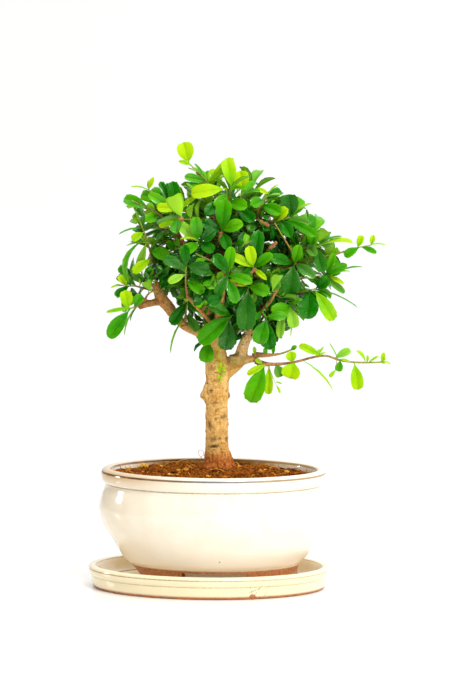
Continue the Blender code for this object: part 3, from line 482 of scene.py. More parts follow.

# %% [markdown]
# The material mixes four finishes by those masks: cream glaze, the brown of thin glaze, an olive
# tone on the inner wall, and bare fired clay. The cream is tanned on the left of the lip, partly a
# browner glaze and partly painted shade, and a sandy painted shade darkens the pot's left side. Low
# on the pot the cream is painted lighter, as painted light from below. The brown shows a painted grey
# sheen in front and is painted paler at the right, where the light is stronger. The glaze has an IOR
# of 1.5 and is nearly smooth, so it mirrors the window. The pinholes are dark dots up to 1 mm
# across, far apart.

# %% Glaze material
def stoneware(name, glaze, foot_shade, chips=(), crazing=()):
    """Chips and crazing are places in millimetres, each with its reach."""
    material, tree, shader, place = new_material(
        name, IOR=1.5, Coat_Weight=0.35, Coat_Roughness=0.04, Coat_IOR=1.5)
    from_middle, depth, height = place
    inner, thin, bare = (add(tree, "ShaderNodeAttribute", output="Fac", attribute_name=label)
                         for label in ("inner", "thin", "bare"))
    wander = pattern(place, 14.0)
    fine = pattern(place, 2.2, Detail=5.0)

    def away(spot):
        return add(tree, "ShaderNodeVectorMath", {0: place, 1: Vector(spot) * MM}, "Value",
                   operation="DISTANCE")

    # On the pot the lower cream is painted light from below; the tray lies wholly low, so there it is its
    # cream.
    cream = painted(
        glaze[0], (glaze[1], 1, (wander, 0.35, 0.7)), (foot_shade, 0.8, (height, 46 * MM, 22 * MM)),
        # Tan on the left of the lip: partly browner glaze, partly painted shade.
        ("#C49C68", 0.95, (from_middle, -15 * MM, -72 * MM), (height, 74 * MM, 81 * MM)),
        # Sand colour on the pot's left: painted shade.
        ("#DCC8A0", 0.45, (from_middle, -35 * MM, -80 * MM), (height, 17 * MM, 19 * MM)))
    bloom = shown(0.4, (pattern(place, 14.0, Detail=4.0), 0.52, 0.66))
    at_ends = shown(0.95, (from_middle.step("ABSOLUTE"), 34 * MM, 58 * MM))
    at_ends = at_ends * (shown(0.45, (fine, 0.36, 0.5)) + 0.55)
    olive = painted(
        "#84581A", ("#B08236", 1, (fine, 0.35, 0.65)), ("#F2E8CE", bloom.step("MAXIMUM", at_ends)))
    brown = painted(
        "#5C3410", ("#94642A", 1, (wander, 0.4, 0.65)),
        # Grey on the thin brown in front: a painted sheen.
        ("#7E8480", 0.65, (from_middle, -60 * MM, 0.0), (depth, 0.0, -30 * MM)),
        # The thin brown paler at the right: painted light.
        ("#B08C56", 0.7, (from_middle, 20 * MM, 55 * MM)))
    ragged = (fine - 0.5) * 0.32 + thin

    luck = next(iter(pattern(place, 15.0, "Voronoi", "Color")))
    pinhole = pattern(place, 15.0, "Voronoi", "Distance").step("LESS_THAN", 0.034)
    pinhole = pinhole * luck.step("GREATER_THAN", 0.45)
    colour = painted(
        cream, (olive, inner), (brown, 1, (ragged, 0.4, 0.85)), ("#4A3824", pinhole * 0.85))
    for *spot, reach in crazing:
        crack = add(tree, "ShaderNodeTexVoronoi", {"Vector": place, "Scale": 1 / (7.0 * MM)}, "Distance",
                    feature="DISTANCE_TO_EDGE")
        colour = painted(colour, (
            "#7A5A34", 1, (crack, 0.03, 0.0), (away(spot), reach * MM, reach * MM * 0.8), (fine, 0.4, 0.55)))
    for *spot, reach in chips:
        chipped = (fine - 0.5) * 0.004 + away(spot)
        bare = bare.step("MAXIMUM", shown(1, (chipped, reach * MM, (reach - 0.4) * MM)))
    clay = painted("#94582F", ("#C4804A", 1, (fine, 0.3, 0.7)))
    feed(shader, Roughness=shown(0.73, (bare, 0.0, 1.0)) + 0.12)
    relief = fine * (shown(0.88, (bare, 0.0, 1.0)) + 0.12) + pinhole * -2.0
    finish(shader, painted(colour, (clay, bare)), relief, 0.25, 0.3)
    return material


hand_over(pot, "pot", material=stoneware(
    "cream_glazed_stoneware_pot", ("#F1E4CE", "#F6ECDB"), "#FFF4E2"))
hand_over(tray, "drip_tray", material=stoneware(
    "cream_glazed_stoneware_tray", ("#EBD6A8", "#F6EACC"), "#F0E0B8",
    ((31.0, -59.6, 0.9, 3.0), (36.5, -57.7, 0.6, 1.3), (11.0, -63.8, 0.7, 1.2)), ((35.5, -59.0, 6.5, 8.5),)))

# %% [markdown]
# The potting mix is bark humus: dark crumbs with orange-brown bits of bark and pale root fibres. A
# fine disc follows the packed soil's heap and gets lumps from noise at three sizes. The sides and
# the bottom only close the body inside the pot.

# %% Soil bed
SOIL_EDGE_HEIGHT = 79.5
SOIL_HEAP = 7.0
SOIL_HEAP_POWER = 1.3
SOIL_EDGE = 72.0
SOIL_SIDES = ((71.6, 71.3), (74.9, 54.3), (67.2, 36.6), (49.5, 22.5))
SOIL_RINGS = 58
TRUNK_X = 6.4
STUMP_RADIUS = 11.2


def lumps(x, y, size, depth):
    return depth * noise.noise(Vector((x / size, y / size, depth)))


def soil_height(x, y):
    """Height of the soil's surface, at x and y from the pot's middle."""
    share = math.hypot(x, y / OVAL_DEPTH) / SOIL_EDGE
    heap = SOIL_EDGE_HEIGHT + SOIL_HEAP * max(0.0, 1 - share) ** SOIL_HEAP_POWER
    rough = lumps(x, y, 11.0, 3.2) + lumps(x, y, 4.0, 2.6) + lumps(x, y, 1.7, 1.3)
    return heap + 1.0 + rough * min(1.0, 0.45 + 3 * (1 - share))


rings = [[(POT_SHIFT, 0, soil_height(0, 0))]]
for ring in range(1, SOIL_RINGS + 1):
    flat = [(SOIL_EDGE * ring / SOIL_RINGS * math.cos(a),
             SOIL_EDGE * OVAL_DEPTH * ring / SOIL_RINGS * math.sin(a)) for a in OVAL_TURNS]
    rings.append([(x + POT_SHIFT, y, soil_height(x, y)) for x, y in flat])
for radius, height in SOIL_SIDES:
    rings.append([(radius * math.cos(a) + POT_SHIFT + uneven(radius * math.cos(a), height),
                   radius * OVAL_DEPTH * math.sin(a), height) for a in OVAL_TURNS])
rings.append([(POT_SHIFT, 0, SOIL_SIDES[-1][1])])
soil = cut(skinned("soil_bed", rings), (TRUNK_X, 0, 96), (STUMP_RADIUS - 0.3, 0, 60), round_sides=48)
x, y, z = mesh_points(soil).T
set_mask(soil, "surface", z > SOIL_EDGE_HEIGHT - 2.6)
set_mask(soil, "room", np.clip((SOIL_EDGE - np.hypot(x - POT_SHIFT, y / OVAL_DEPTH)) / 12, 0.22, 1))

# %% [markdown]
# Bits of bark and root fibres lie all over the soil. Geometry Nodes scatter them: points are
# spread over the surface, each gets one of three small shapes, turned and sized at random, and a
# tone that the material reads. Each shape has a few dozen faces at most.

# %% Shapes of the bits
def bark_chip(name, seed, long, wide, thick):
    """A broken chip: a squashed ball with a ragged outline."""
    body = bmesh.new()
    bmesh.ops.create_icosphere(body, subdivisions=1, radius=0.5 * MM)
    draw = random.Random(seed)
    for vertex in body.verts:
        share = draw.uniform(0.75, 1.25)
        vertex.co = Vector((vertex.co.x * long, vertex.co.y * wide, vertex.co.z * thick)) * share
    return finished_mesh(name, body)


def root_fibre(name, seed, length, radius):
    """A thin four-sided tube along a wandering line."""
    turn = random.Random(seed).uniform(0, 6)
    rings = []
    for step in range(8):
        share = step / 7 - 0.5
        y = math.sin(turn + share * 5) * length * 0.16
        z = math.cos(turn + share * 6) * length * 0.11
        rings.append([(share * length, y + radius * math.cos(a), z + radius * math.sin(a))
                      for a in (0, math.pi / 2, math.pi, 3 * math.pi / 2)])
    return skinned(name, rings)


# %% [markdown]
# The scatter's tree has named inputs for how many bits there are and how big they get, and a fixed
# seed. It ends by making everything real, since the exported model has no instances.

# %% Scattering the bits
FLOAT, WHOLE, OBJECT, MATERIAL = (f"NodeSocket{kind}" for kind in ("Float", "Int", "Object", "Material"))


def new_tree(name, **sockets):
    """A Geometry Nodes tree with named inputs; returns it with its inputs' sockets and its output."""
    tree = bpy.data.node_groups.new(name, "GeometryNodeTree")
    tree.interface.new_socket("Geometry", in_out="INPUT", socket_type="NodeSocketGeometry")
    for label, (kind, *value) in sockets.items():
        socket = tree.interface.new_socket(label.replace("_", " "), in_out="INPUT", socket_type=kind)
        if value:
            socket.default_value = value[0]
    tree.interface.new_socket("Geometry", in_out="OUTPUT", socket_type="NodeSocketGeometry")
    given = add(tree, "NodeGroupInput", output=None).outputs
    return tree, {output.name: Signal(output) for output in given}, add(tree, "NodeGroupOutput", output=None)


def grown(obj, tree, **values):
    """Run a tree on an object, with its inputs set by their sockets' identifiers."""
    modifier = obj.modifiers.new(tree.name, "NODES")
    modifier.node_group = tree
    for item in tree.interface.items_tree:
        if item.in_out == "INPUT" and item.name.replace(" ", "_") in values:
            modifier[item.identifier] = values[item.name.replace(" ", "_")]
    return settled(obj)


def shapes_on_points(tree, shapes, sockets):
    """Put one of several shapes on each point, picked by its number from the last to the first."""
    kinds = add(tree, "GeometryNodeJoinGeometry", output=None)
    for shape in shapes:
        single = add(tree, "GeometryNodeObjectInfo", {"Object": shape}, "Geometry")
        single = add(tree, "GeometryNodeGeometryToInstance", {"Geometry": single})
        tree.links.new(single.socket, kinds.inputs[0])
    placed = {"Instance": Signal(kinds.outputs[0]), "Pick Instance": True, **sockets}
    return add(tree, "GeometryNodeInstanceOnPoints", placed)


def joined(tree, first, second):
    both = add(tree, "GeometryNodeJoinGeometry", {0: first}, None)
    tree.links.new(second.socket, both.inputs[0])
    return Signal(both.outputs[0])


def scatter_tree():
    tree, given, result = new_tree(
        "scatter_bits", Bits_per_square_metre=(FLOAT, 30000.0), Seed=(WHOLE, 4), Smallest=(FLOAT, 0.35),
        Largest=(FLOAT, 1.7), Long_chip=(OBJECT,), Round_chip=(OBJECT,), Fibre=(OBJECT,), Crumbs=(MATERIAL,))
    surface, room = (add(tree, "GeometryNodeInputNamedAttribute", {"Name": label}, "Attribute",
                         data_type="FLOAT") for label in ("surface", "room"))
    spread = add(tree, "GeometryNodeDistributePointsOnFaces", {
        "Mesh": given["Geometry"], "Selection": surface.step("GREATER_THAN", 0.5),
        "Density": given["Bits per square metre"], "Seed": given["Seed"]}, "Points")
    kind = add(tree, "FunctionNodeRandomValue", {2: 0.0, 3: 2.9, 8: 1}, 1, data_type="FLOAT")
    tilt = add(tree, "FunctionNodeRandomValue", {
        0: (-0.5, -0.5, 0.0), 1: (0.5, 0.5, 6.28), 8: 2}, data_type="FLOAT_VECTOR")
    size = add(tree, "FunctionNodeRandomValue", {
        2: given["Smallest"], 3: given["Largest"], 8: 3}, 1, data_type="FLOAT")
    tone = add(tree, "FunctionNodeRandomValue", {8: 4}, 1, data_type="FLOAT")
    placed = shapes_on_points(tree, (given["Fibre"], given["Round chip"], given["Long chip"]), {
        "Points": spread, "Instance Index": kind, "Rotation": tilt, "Scale": size * room})
    toned = add(tree, "GeometryNodeStoreNamedAttribute", {"Geometry": placed, "Name": "tone", "Value": tone},
                data_type="FLOAT", domain="INSTANCE")
    real = add(tree, "GeometryNodeRealizeInstances", {"Geometry": toned})
    last = add(tree, "GeometryNodeSetMaterial", {
        "Geometry": joined(tree, real, given["Geometry"]), "Material": given["Crumbs"]})
    feed(result, Geometry=last)
    return tree


# %% [markdown]
# The crumbs are matt. Their colour follows the lumps of their relief: almost black in its hollows,
# which is partly damp soil and partly painted shade, and red-brown on the lumps, where they are dry.
# The bits read their tone: most are as dark as the crumbs, some orange-brown, a few straw yellow.

# %% Potting mix material
def potting_mix(name):
    material, tree, shader, place = new_material(name, Roughness=0.95, Specular_IOR_Level=0.08)
    fine = pattern(place, 1.6, Detail=6.0, Roughness=0.7)
    tone = add(tree, "ShaderNodeAttribute", output="Fac", attribute_name="tone")
    # Crumb colour rises with the relief: the dark hollows are partly damp soil, partly painted shade.
    crumbs = painted(
        "#220C02", ("#B8640C", 1, (fine, 0.36, 0.68)), ("#4A2204", 1, (pattern(place, 9.0), 0.52, 0.7)))
    bits = painted(
        "#2C1202", ("#6A3406", 1, (tone, 0.0, 0.3)), ("#B0660E", 1, (tone, 0.3, 0.6)),
        ("#DC9A3A", 1, (tone, 0.6, 0.85)), ("#F0B440", 1, (tone, 0.85, 1.0)))
    colour = painted(crumbs, (bits, tone.step("GREATER_THAN", 0.001)))
    # Almost black in the hollows of the relief: partly damp soil, partly painted shade.
    finish(shader, painted("#240E04", (colour, 1, (fine, 0.3, 0.5))), fine, 0.6, 0.6)
    return material


CRUMBS = potting_mix("potting_mix_of_bark_humus")
bits = {"Long_chip": bark_chip("chip_long", 1, 5.0, 1.6, 1.1),
        "Round_chip": bark_chip("chip_round", 2, 2.7, 2.2, 1.8), "Fibre": root_fibre("fibre", 3, 13.0, 0.2)}
soil = grown(soil, scatter_tree(), Crumbs=CRUMBS, **bits)
for shape in bits.values():
    bpy.data.objects.remove(shape, do_unlink=True)
hand_over(soil, "soil", 50.0)

# %% [markdown]
# A few larger lumps of ochre clay and bark lie on top, most of them at the left. Each is a ball that
# noise makes uneven, sunk into the soil by a third.

# %% Larger lumps
LUMPS = (  # x, y, size and tone
    (-50, 26, 5.4, 0.93), (-42, 30, 4.2, 0.8), (-37, 22, 6.2, 0.9), (-61, 8, 3.8, 0.7), (-20, -12, 4.4, 0.75),
    (-29, 12, 3.6, 0.55), (-52, -8, 3.2, 0.6), (22, 24, 3.8, 0.6), (34, -14, 3.0, 0.7), (52, 6, 4.0, 0.85),
    (-6, 34, 3.6, 0.5), (8, -34, 3.2, 0.65),
)
body = bmesh.new()
tones = []
for x, y, size, tone in LUMPS:
    centre = Vector((x + POT_SHIFT, y, soil_height(x, y) + size / 6))
    ball = bmesh.ops.create_icosphere(body, subdivisions=2, radius=1.0)["verts"]
    for vertex in ball:
        swell = 0.5 + 0.22 * noise.noise(vertex.co * 1.7 + centre)
        vertex.co = (centre + Vector(a * b for a, b in zip(vertex.co, (1.2, 1.0, 0.8))) * size * swell) * MM
    tones += [tone] * len(ball)
larger = finished_mesh("lumps_of_bark", body)
set_mask(larger, "tone", tones)
hand_over(larger, sharp=60.0, material=CRUMBS)

# %% [markdown]
# The trunk and its limbs grew as one piece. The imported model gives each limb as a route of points
# with a radius, and the same routes are used here, so the wood stands where the solid does.

# %% Routes of the wood
STUMP_BOTTOM = 66.4
LIMB_STEP = 14.0

# Each limb is a tapered tube through (x, y, z, radius) points. The trunk runs on into the crown.
LIMBS = {
    "trunk": (
        (TRUNK_X, 0, STUMP_BOTTOM, STUMP_RADIUS), (TRUNK_X, 0, 86, STUMP_RADIUS), (6.0, 0, 92, 9.6),
        (5.3, 0, 99, 8.4), (4.7, 0, 112, 7.9), (4.7, 0, 128, 7.9), (4.9, 0, 144, 8.1), (4.9, 0, 156, 8.5),
        (4.0, 0.5, 167, 7.4), (3.4, 2, 179, 5.2), (2.4, 4, 195, 4.2), (1.2, 5, 212, 3.8), (3.5, 5, 232, 3.4),
        (6, 4, 250, 2.8), (7.5, 2, 264, 2.0)),
    "left": (
        (4, 0, 163, 5.0), (-3, 0, 176.5, 4.2), (-9, -1, 182, 3.3), (-17.4, -2, 186, 3.2),
        (-24.5, -3, 192.6, 3.6), (-30.2, -4, 200.5, 3.9), (-35.1, -5, 206.2, 4.1), (-38, -5, 213, 3.8),
        (-39.3, -5, 218, 2.7)),
    "left_arm": ((-34, -5, 205, 2.8), (-42, -7, 203.5, 2.5), (-48, -9, 202.2, 2.5), (-51.5, -10, 200.8, 2.4)),
    "right": (
        (6, 0, 149, 5.0), (14, -1, 157, 5.2), (20.5, -2, 163, 5.0), (23, -2, 173, 3.8), (26.6, -2, 182, 3.5),
        (29, -1, 190, 3.3), (33, 1, 203, 3.0), (40, 3, 214, 2.8), (49, 4, 225, 2.5), (57, 4, 236, 2.1),
        (58.5, 2, 242, 1.6)),
    "low_right": ((19, -2, 162, 3.6), (27, -4, 163.6, 2.9), (33, -5, 164.2, 2.1)),
    "back": (
        (3.5, 1, 168, 4.6), (4, 12, 181, 3.6), (6, 22, 194, 3.2), (8, 32, 207, 2.8), (8, 40, 222, 2.2),
        (7, 43, 235, 1.6)),
    "back_left": ((2.5, 4, 191, 3.0), (-8, 14, 203, 2.6), (-19, 24, 213, 2.2), (-28, 33, 222, 1.6)),
    "back_right": ((28, -1, 188, 2.8), (36, 10, 199, 2.4), (44, 21, 209, 2.1), (51, 31, 219, 1.6)),
    "front": (
        (4, -1, 170, 4.6), (5, -13, 185, 3.4), (6, -22, 201, 2.9), (8, -29, 218, 2.4), (9, -33, 232, 1.7)),
    "front_left": ((5, -12, 184, 2.6), (-7, -23, 199, 2.2), (-17, -32, 210, 1.6)),
    "front_right": ((28, -2, 187, 2.7), (34, -13, 197, 2.2), (41, -24, 206, 1.9), (46, -33, 215, 1.4)),
    "top_left": ((1.5, 5, 213, 2.7), (-8, 4, 228, 2.3), (-18, 2, 242, 1.9), (-25, 0, 254, 1.5)),
    "top_right": ((3.5, 5, 231, 2.6), (13, 5, 244, 2.1), (24, 3, 255, 1.8), (36, 0, 262, 1.4)),
    "inner_right": ((32, 0, 201, 2.3), (26, -8, 213, 2.0), (25, -13, 222, 1.8), (31, -16, 227, 1.4)),
    "stub": ((1, 0, 136, 4.4), (-4, 0, 137, 3.6), (-7.2, 0, 137.6, 2.2)),
    "knot": ((9, 0, 137, 3.4), (14.1, -0.6, 137.4, 1.7)),
    "burr": ((17, -3, 160, 5.2), (17.5, -3.5, 166.5, 4.6)),
}
print(len(LIMBS), "limbs and knots, the longest with", max(map(len, LIMBS.values())), "points")

# %% [markdown]
# Each leafy shoot that shows from the front has its own route and its own leaves, given by where a
# leaf's tip is, how wide it is and which way it faces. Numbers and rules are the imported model's, so
# every fine leaf here stands on its solid one.

# %% Shoots that show from the front
# The ways a leaf's upper face can look.
FRONT = Vector((0.0, -1.0, 0.35))
UP = Vector((0.0, -0.35, 1.0))
LEFT = Vector((-1.0, -0.5, 0.4))
RIGHT = Vector((1.0, -0.5, 0.4))

# Each shoot has a letter for the colour of each leaf, its route from the wood outwards, then leaves
# as (share along the route, tip x, y, z, width). The upper face looks to the front unless a way is
# named. A last number is the bend, in degrees, of a leaf that arches more than the others.
SHOOTS = {
    "top_sprig": ("LLGLYG", ((7, 2, 262), (3, 0, 276), (-3, -2, 289), (-10, -3, 296), (-16.5, -3, 302.3)), (
        (1, -21, -4, 317.3, 12), (0.97, -24, -5, 304, 3.2), (0.62, -13, 3, 302, 2.6, UP),
        (0.55, 15, -6, 306.5, 7), (0.5, 13, -5, 294.5, 3, UP), (0.62, -19.6, -6, 293, 6.5))),
    "top_front": ("LGDGG", ((6, 3, 252), (9, -7, 262), (11, -13, 274), (10, -16, 285.5)), (
        (1, -15, -18, 281.5, 10), (0.95, 24, -19, 285, 6, UP), (0.75, -5, -22, 268, 9),
        (0.7, 25, -22, 273, 9), (0.9, 3, -22, 272, 8))),
    "front_top": ("MDGD", ((6, 2, 254), (7, -10, 254), (7, -20, 256)), (
        (1, 9, -24, 279, 11.4), (0.9, -7, -24, 262, 9), (0.95, 22, -26, 262, 9), (0.8, 12, -27, 243, 8))),
    "top_right_leaf": ("LGDGD", ((13, 5, 245), (16, 1, 260), (19, -4, 273), (21.5, -6, 284)), (
        (1, 19.5, -8, 298, 11.4), (0.85, 34, -11, 283, 7, UP), (0.7, 6, -4, 282, 9, UP),
        (0.8, 30, 6, 289, 8, UP), (0.6, 30, -14, 262, 9))),
    "bud_right_top": ("LLPGG", ((26, 2, 257), (33, -2, 270), (38, -4, 277), (40, -5, 281.5)), (
        (1, 31.5, -7, 285, 3.6), (1, 47, -6, 288, 2.8, UP), (0.97, 48.5, -7, 281, 3.4, UP),
        (0.75, 27, -14, 274, 8), (0.6, 49, -14, 268, 9))),
    "dark_round": ("KPRLMD", ((36, 0, 262), (45, -4, 262), (56, -6, 265)), (
        (1, 54, -8, 281.5, 12.8), (0.95, 71, -8, 275, 4.3, UP), (0.9, 69, -12, 261, 7),
        (0.3, 54, -18, 271.5, 8.5), (0.9, 74, -15, 252.5, 6.5), (0.6, 56, -20, 252, 9))),
    "right_upper": ("LGGRK", ((58, 3, 240), (66, -1, 243), (75.5, -4, 244.5)), (
        (1, 100, -8, 247, 8.5, UP), (0.95, 92.5, -2, 251.5, 4, UP), (0.7, 72, -10, 258, 8),
        (0.5, 73.5, -18, 238.5, 7), (0.95, 79, -14, 226.5, 9.5))),
    "right_tip": ("GLGLL", ((53, 4, 230), (66, 1, 234), (78, -2, 237), (88, -3, 238.5), (97, -3, 242),
        (105, -3, 244), (113, -3, 245.6)), (
        (0.86, 94, -5, 237.5, 6.4), (0.84, 106.5, -4, 252.5, 5), (0.88, 117, -4, 240, 4.3),
        (1, 114.5, -4, 253, 4), (1, 123.5, -4, 245.5, 2.8, UP))),
    "right_middle": ("RGGPLR", ((47, 4, 223), (60, 0, 221), (74, -3, 223), (85.5, -4, 224)), (
        (1, 107.5, -4, 230, 2.8, UP), (0.97, 87, -7, 240, 5), (0.97, 96, -9, 232, 7),
        (1, 98.5, -6, 227, 3, UP), (1, 94, -8, 218, 3.6), (0.95, 94.5, -4, 211.5, 5))),
    "right_low": ("DYDR", ((41, 3, 214), (54, 0, 211), (65, -3, 212), (74, -5, 214.5)), (
        (1, 84, -11, 222, 8.5), (1, 87, -8, 192, 10), (0.95, 68, -13, 193.5, 15),
        (0.97, 104.5, -5, 200.5, 2.6, UP))),
    "right_hang": ("KDBG", ((55, 4, 233), (58, -6, 233), (58.5, -13, 232)), (
        (1, 55, -17, 211, 13.5), (0.9, 41, -18, 237, 8), (0.9, 73, -17, 223, 8), (1, 62, -20, 247, 7))),
    "right_bottom": ("GPPYG", ((33, 1, 203), (42, -4, 200), (50, -9, 200), (57, -12, 203)), (
        (1, 43.5, -19, 196, 12), (0.95, 59, -13, 187, 8.5), (0.7, 48.6, -14, 180, 6.4),
        (0.85, 56, -11, 180, 2.8, RIGHT), (0.95, 71, -8, 205, 7, UP))),
    "centre_hang": ("KGDL", ((26, -9, 215), (26, -17, 217), (26, -25, 217)), (
        (1, 24.5, -29, 186.5, 14), (1, 41, -29, 213, 9), (0.9, 12, -27, 205, 8), (0.95, 12, -26, 221, 5))),
    "fork_front": ("MDG", ((34, -13, 197), (37, -18, 196.5), (39, -22, 195)), (
        (1, 33.5, -24, 176.5, 11.4), (0.9, 42, -20, 172, 10), (0.95, 53, -22, 196, 7))),
    "trunk_front": ("MKM", ((5, -13, 186), (10, -18, 191), (15.5, -20, 197)), (
        (1, -8.2, -24, 176.5, 12.8), (0.6, 10.5, -20, 171.5, 12), (0.95, -2, -26, 204, 8))),
    "fork_left": ("GD", ((-3, 0, 177), (-3, -6, 178), (-1.5, -10, 177.5)), (
        (1, -3.7, -13, 161.8, 10.6), (0.9, -12, -8, 169, 4.5, LEFT))),
    "left_inner": ("DBPGL", ((-18, -2, 187), (-18, -7, 196), (-16.5, -10, 205)), (
        (1, -28, -13, 188.5, 8.5), (0.3, -9, -13, 184, 6.4), (0.2, -28.4, -9, 167.5, 3.4, LEFT),
        (0.9, -2.5, -16, 198, 6.4), (1, -21, -12, 214, 4))),
    "left_hang": ("LGMRPY", ((-46, -8.5, 202.7), (-48, -12.5, 203), (-53, -13, 201.5), (-58.5, -12, 199)), (
        (1, -61, -14, 213, 9), (0.9, -49, -15, 210, 7), (1, -72, -15, 179, 10.6),
        (0.8, -57, -9, 190, 3.6, LEFT), (0.85, -61, -10, 180, 2.8, LEFT), (0.97, -74.5, -13, 197, 3))),
    "left_shoot": ("GYGPGPLG", ((-39, -5, 216), (-41, -6, 228), (-43, -6, 238), (-47.6, -6, 253),
        (-54.4, -6, 269.6)), (
        (0.72, -66, -6, 251.5, 3.2, UP), (0.66, -56.5, -9, 248, 6), (0.56, -58, -11, 218, 9, LEFT, 95),
        (0.55, -52, -1, 226, 6), (1, -47.5, -8, 271, 4, UP), (0.5, -60.5, -7, 243.5, 3, UP),
        (0.28, -55.5, -13, 225, 7), (0.4, -30, -13, 236, 9))),
    "left_low": ("LLDD", ((-38, -5, 211), (-46, -2, 213), (-54, -3, 215), (-61, -5, 215)), (
        (1, -71.3, -8, 213.5, 4, UP), (1, -66, -9, 223, 5), (0.95, -67.5, -9, 208.5, 5),
        (0.45, -47, -1, 203, 5, LEFT))),
    "left_top_twig": ("GGPD", ((-25, 0, 253), (-31, -4, 260), (-36, -4, 266), (-44.5, -4, 270),
        (-57, -5, 276)), (
        (0.62, -62.5, 1, 277, 8.5), (0.4, -47, -12, 262, 7), (0.7, -60, -11, 266, 5),
        (0.3, -40, 6, 258, 9, LEFT))),
    "top_left_cluster": ("LYGDDYG", ((-24, -1, 252), (-25, -6, 262), (-24.5, -10, 270)), (
        (1, -39, -15, 271.5, 7), (1, -9, -15, 281.5, 3.6), (0.95, -45, -13, 281, 7.5),
        (0.95, -28, -7, 290, 9), (0.9, -37, -9, 289.5, 6), (0.8, -37, -16, 258, 6),
        (0.8, -12, -18, 262, 8))),
    "bud_left": ("LYGD", ((-20, 2, 246), (-26, 7, 257), (-34, 6, 269), (-40, 4, 277), (-45, 2, 283.5)), (
        (1, -41.6, 0, 292.3, 3.6), (1, -58, 0, 285, 3, UP), (0.75, -50, 9, 280, 8, LEFT),
        (0.7, -27, 6, 286, 9, UP))),
    "front_lime": ("LLLGDL", ((30, -15.5, 226.5), (30, -24, 229), (29.5, -33, 231.5)), (
        (1, 26, -37, 247, 8), (1, 13.5, -37, 240, 6.5), (0.97, 18.5, -39, 232, 3, UP),
        (0.97, 43, -36, 241.5, 7), (0.85, 33, -31, 258, 10), (0.95, 39, -38, 223, 4))),
    "front_left_high": ("LGDDPG", ((3, 4, 234), (-5, -16, 244), (-9.5, -30, 250)), (
        (1, -22.5, -33, 250.5, 4, UP), (1, -12, -34, 267, 8.5), (0.95, 3, -35, 257, 9),
        (0.9, 1.5, -35, 242, 8), (0.85, -25, -28, 262, 8), (0.9, -22, -36, 240, 8))),
    "front_left_low": ("KKPGD", ((-16.5, -31.5, 209.5), (-18, -37, 222), (-17.5, -41, 233)), (
        (1, -1.5, -45, 229, 10.6), (0.95, -34, -42, 238, 8), (0.7, -30, -42, 221, 6),
        (0.5, -5, -43, 214, 8), (1, -19, -42, 248, 7))),
    "front_middle": ("DKGGM", ((8, -30, 219.5), (10, -38, 225), (12.4, -44, 228.5)), (
        (1, 1, -48, 241, 9), (1, 4, -48, 213, 8), (1, 14, -49, 247, 8), (0.95, 29, -46, 222, 7),
        (0.7, 18, -45, 207, 8))),
    "low_twig_upper": ("GGG", ((30, -4.5, 163.9), (31.5, -6, 168), (38, -7, 167), (48, -8, 167.8),
        (57, -8, 171)), (
        (0.5, 44.5, -9, 175, 2.8), (1, 61, -10, 174, 3.4), (0.3, 38.5, -8, 172.5, 3.4))),
    "low_twig_tip": ("GLLRLLYLPGLLLL", ((29, -4.5, 163.8), (36, -8, 160), (44, -9, 161), (57, -9, 161.8),
        (75.5, -8, 166.5), (85.5, -8, 166.6), (90, -8, 164.2), (104.5, -8, 162.4), (121.6, -8, 162.8)), (
        (0.09, 28.3, -12, 133.5, 14), (0.1, 41, -8, 139, 6.4), (0.1, 26, -12, 153.5, 5),
        (0.15, 50, -12, 152, 7.8), (0.3, 55.7, -12, 151, 13.5), (0.3, 56, -9, 170, 7.8),
        (0.36, 87, -10, 142, 3, UP), (0.52, 62.3, -10, 174.5, 5.7), (0.62, 99, -6, 171, 6),
        (0.67, 90.5, -10, 156, 5.7), (0.78, 104.7, -10, 143, 9.2), (0.87, 103, -8, 170.5, 5, UP),
        (1, 122.5, -9, 170, 3.4), (1, 128, -8, 161, 3, UP))),
}

# %% [markdown]
# What the letters of the leaves' colours stand for: how young the leaf looks, and how pale. L is
# lime, Y yellow-green, P pale, G green, M middle green, D dark, K dark with a bluish gloss, R
# grey-green and B brownish.

# %% Leaf colours
TINT_AGES = {
    "L": (0.97, 0.0), "Y": (0.86, 0.0), "P": (0.7, 0.55), "G": (0.55, 0.0), "M": (0.42, 0.0),
    "D": (0.16, 0.0), "K": (0.06, 0.1), "R": (0.3, 0.4), "B": (0.22, 0.25),
}

# %% [markdown]
# Further shoots fill the crown by rule on every side: their tips are spread evenly over an
# ellipsoid, and each carries its leaves in a spiral, as the living plant does.

# %% Rules for twigs and leaves
SEAT_GAP = 0.35
TWIG_RADIUS = 1.05
TWIG_TIP_SHARE = 0.7
TWIG_STEP = 10.0
TWIG_SHORTEST = 3
TWIG_START_STEP = 0.1
LATEST_START = 0.8
HALF_ROOT = math.sqrt(0.5)

CROWN_MIDDLE = Vector((13.0, 0.0, 238.0))
CROWN_HALF = Vector((76.0, 60.0, 64.0))
FILL_SHOOTS = 24
FILL_SHARES = [1.0 - 0.12 * index for index in range(6)]
FILL_BACKWARD = 0.3
FILL_SEED = 7
FILL_TRIES = 12
LEAF_LENGTH_RANGE = (15.0, 23.0)
LEAF_WIDTH_SHARE_RANGE = (0.5, 0.62)
LEAF_SPREAD_RANGE = (0.8, 1.2)
LEAF_OUTWARD_PULL = 0.35
LEAF_TURN_PER_TRY = 0.9
LEAF_SHRINK_PER_TRY = 0.03
GOLDEN_ANGLE = math.pi * (3.0 - math.sqrt(5.0))

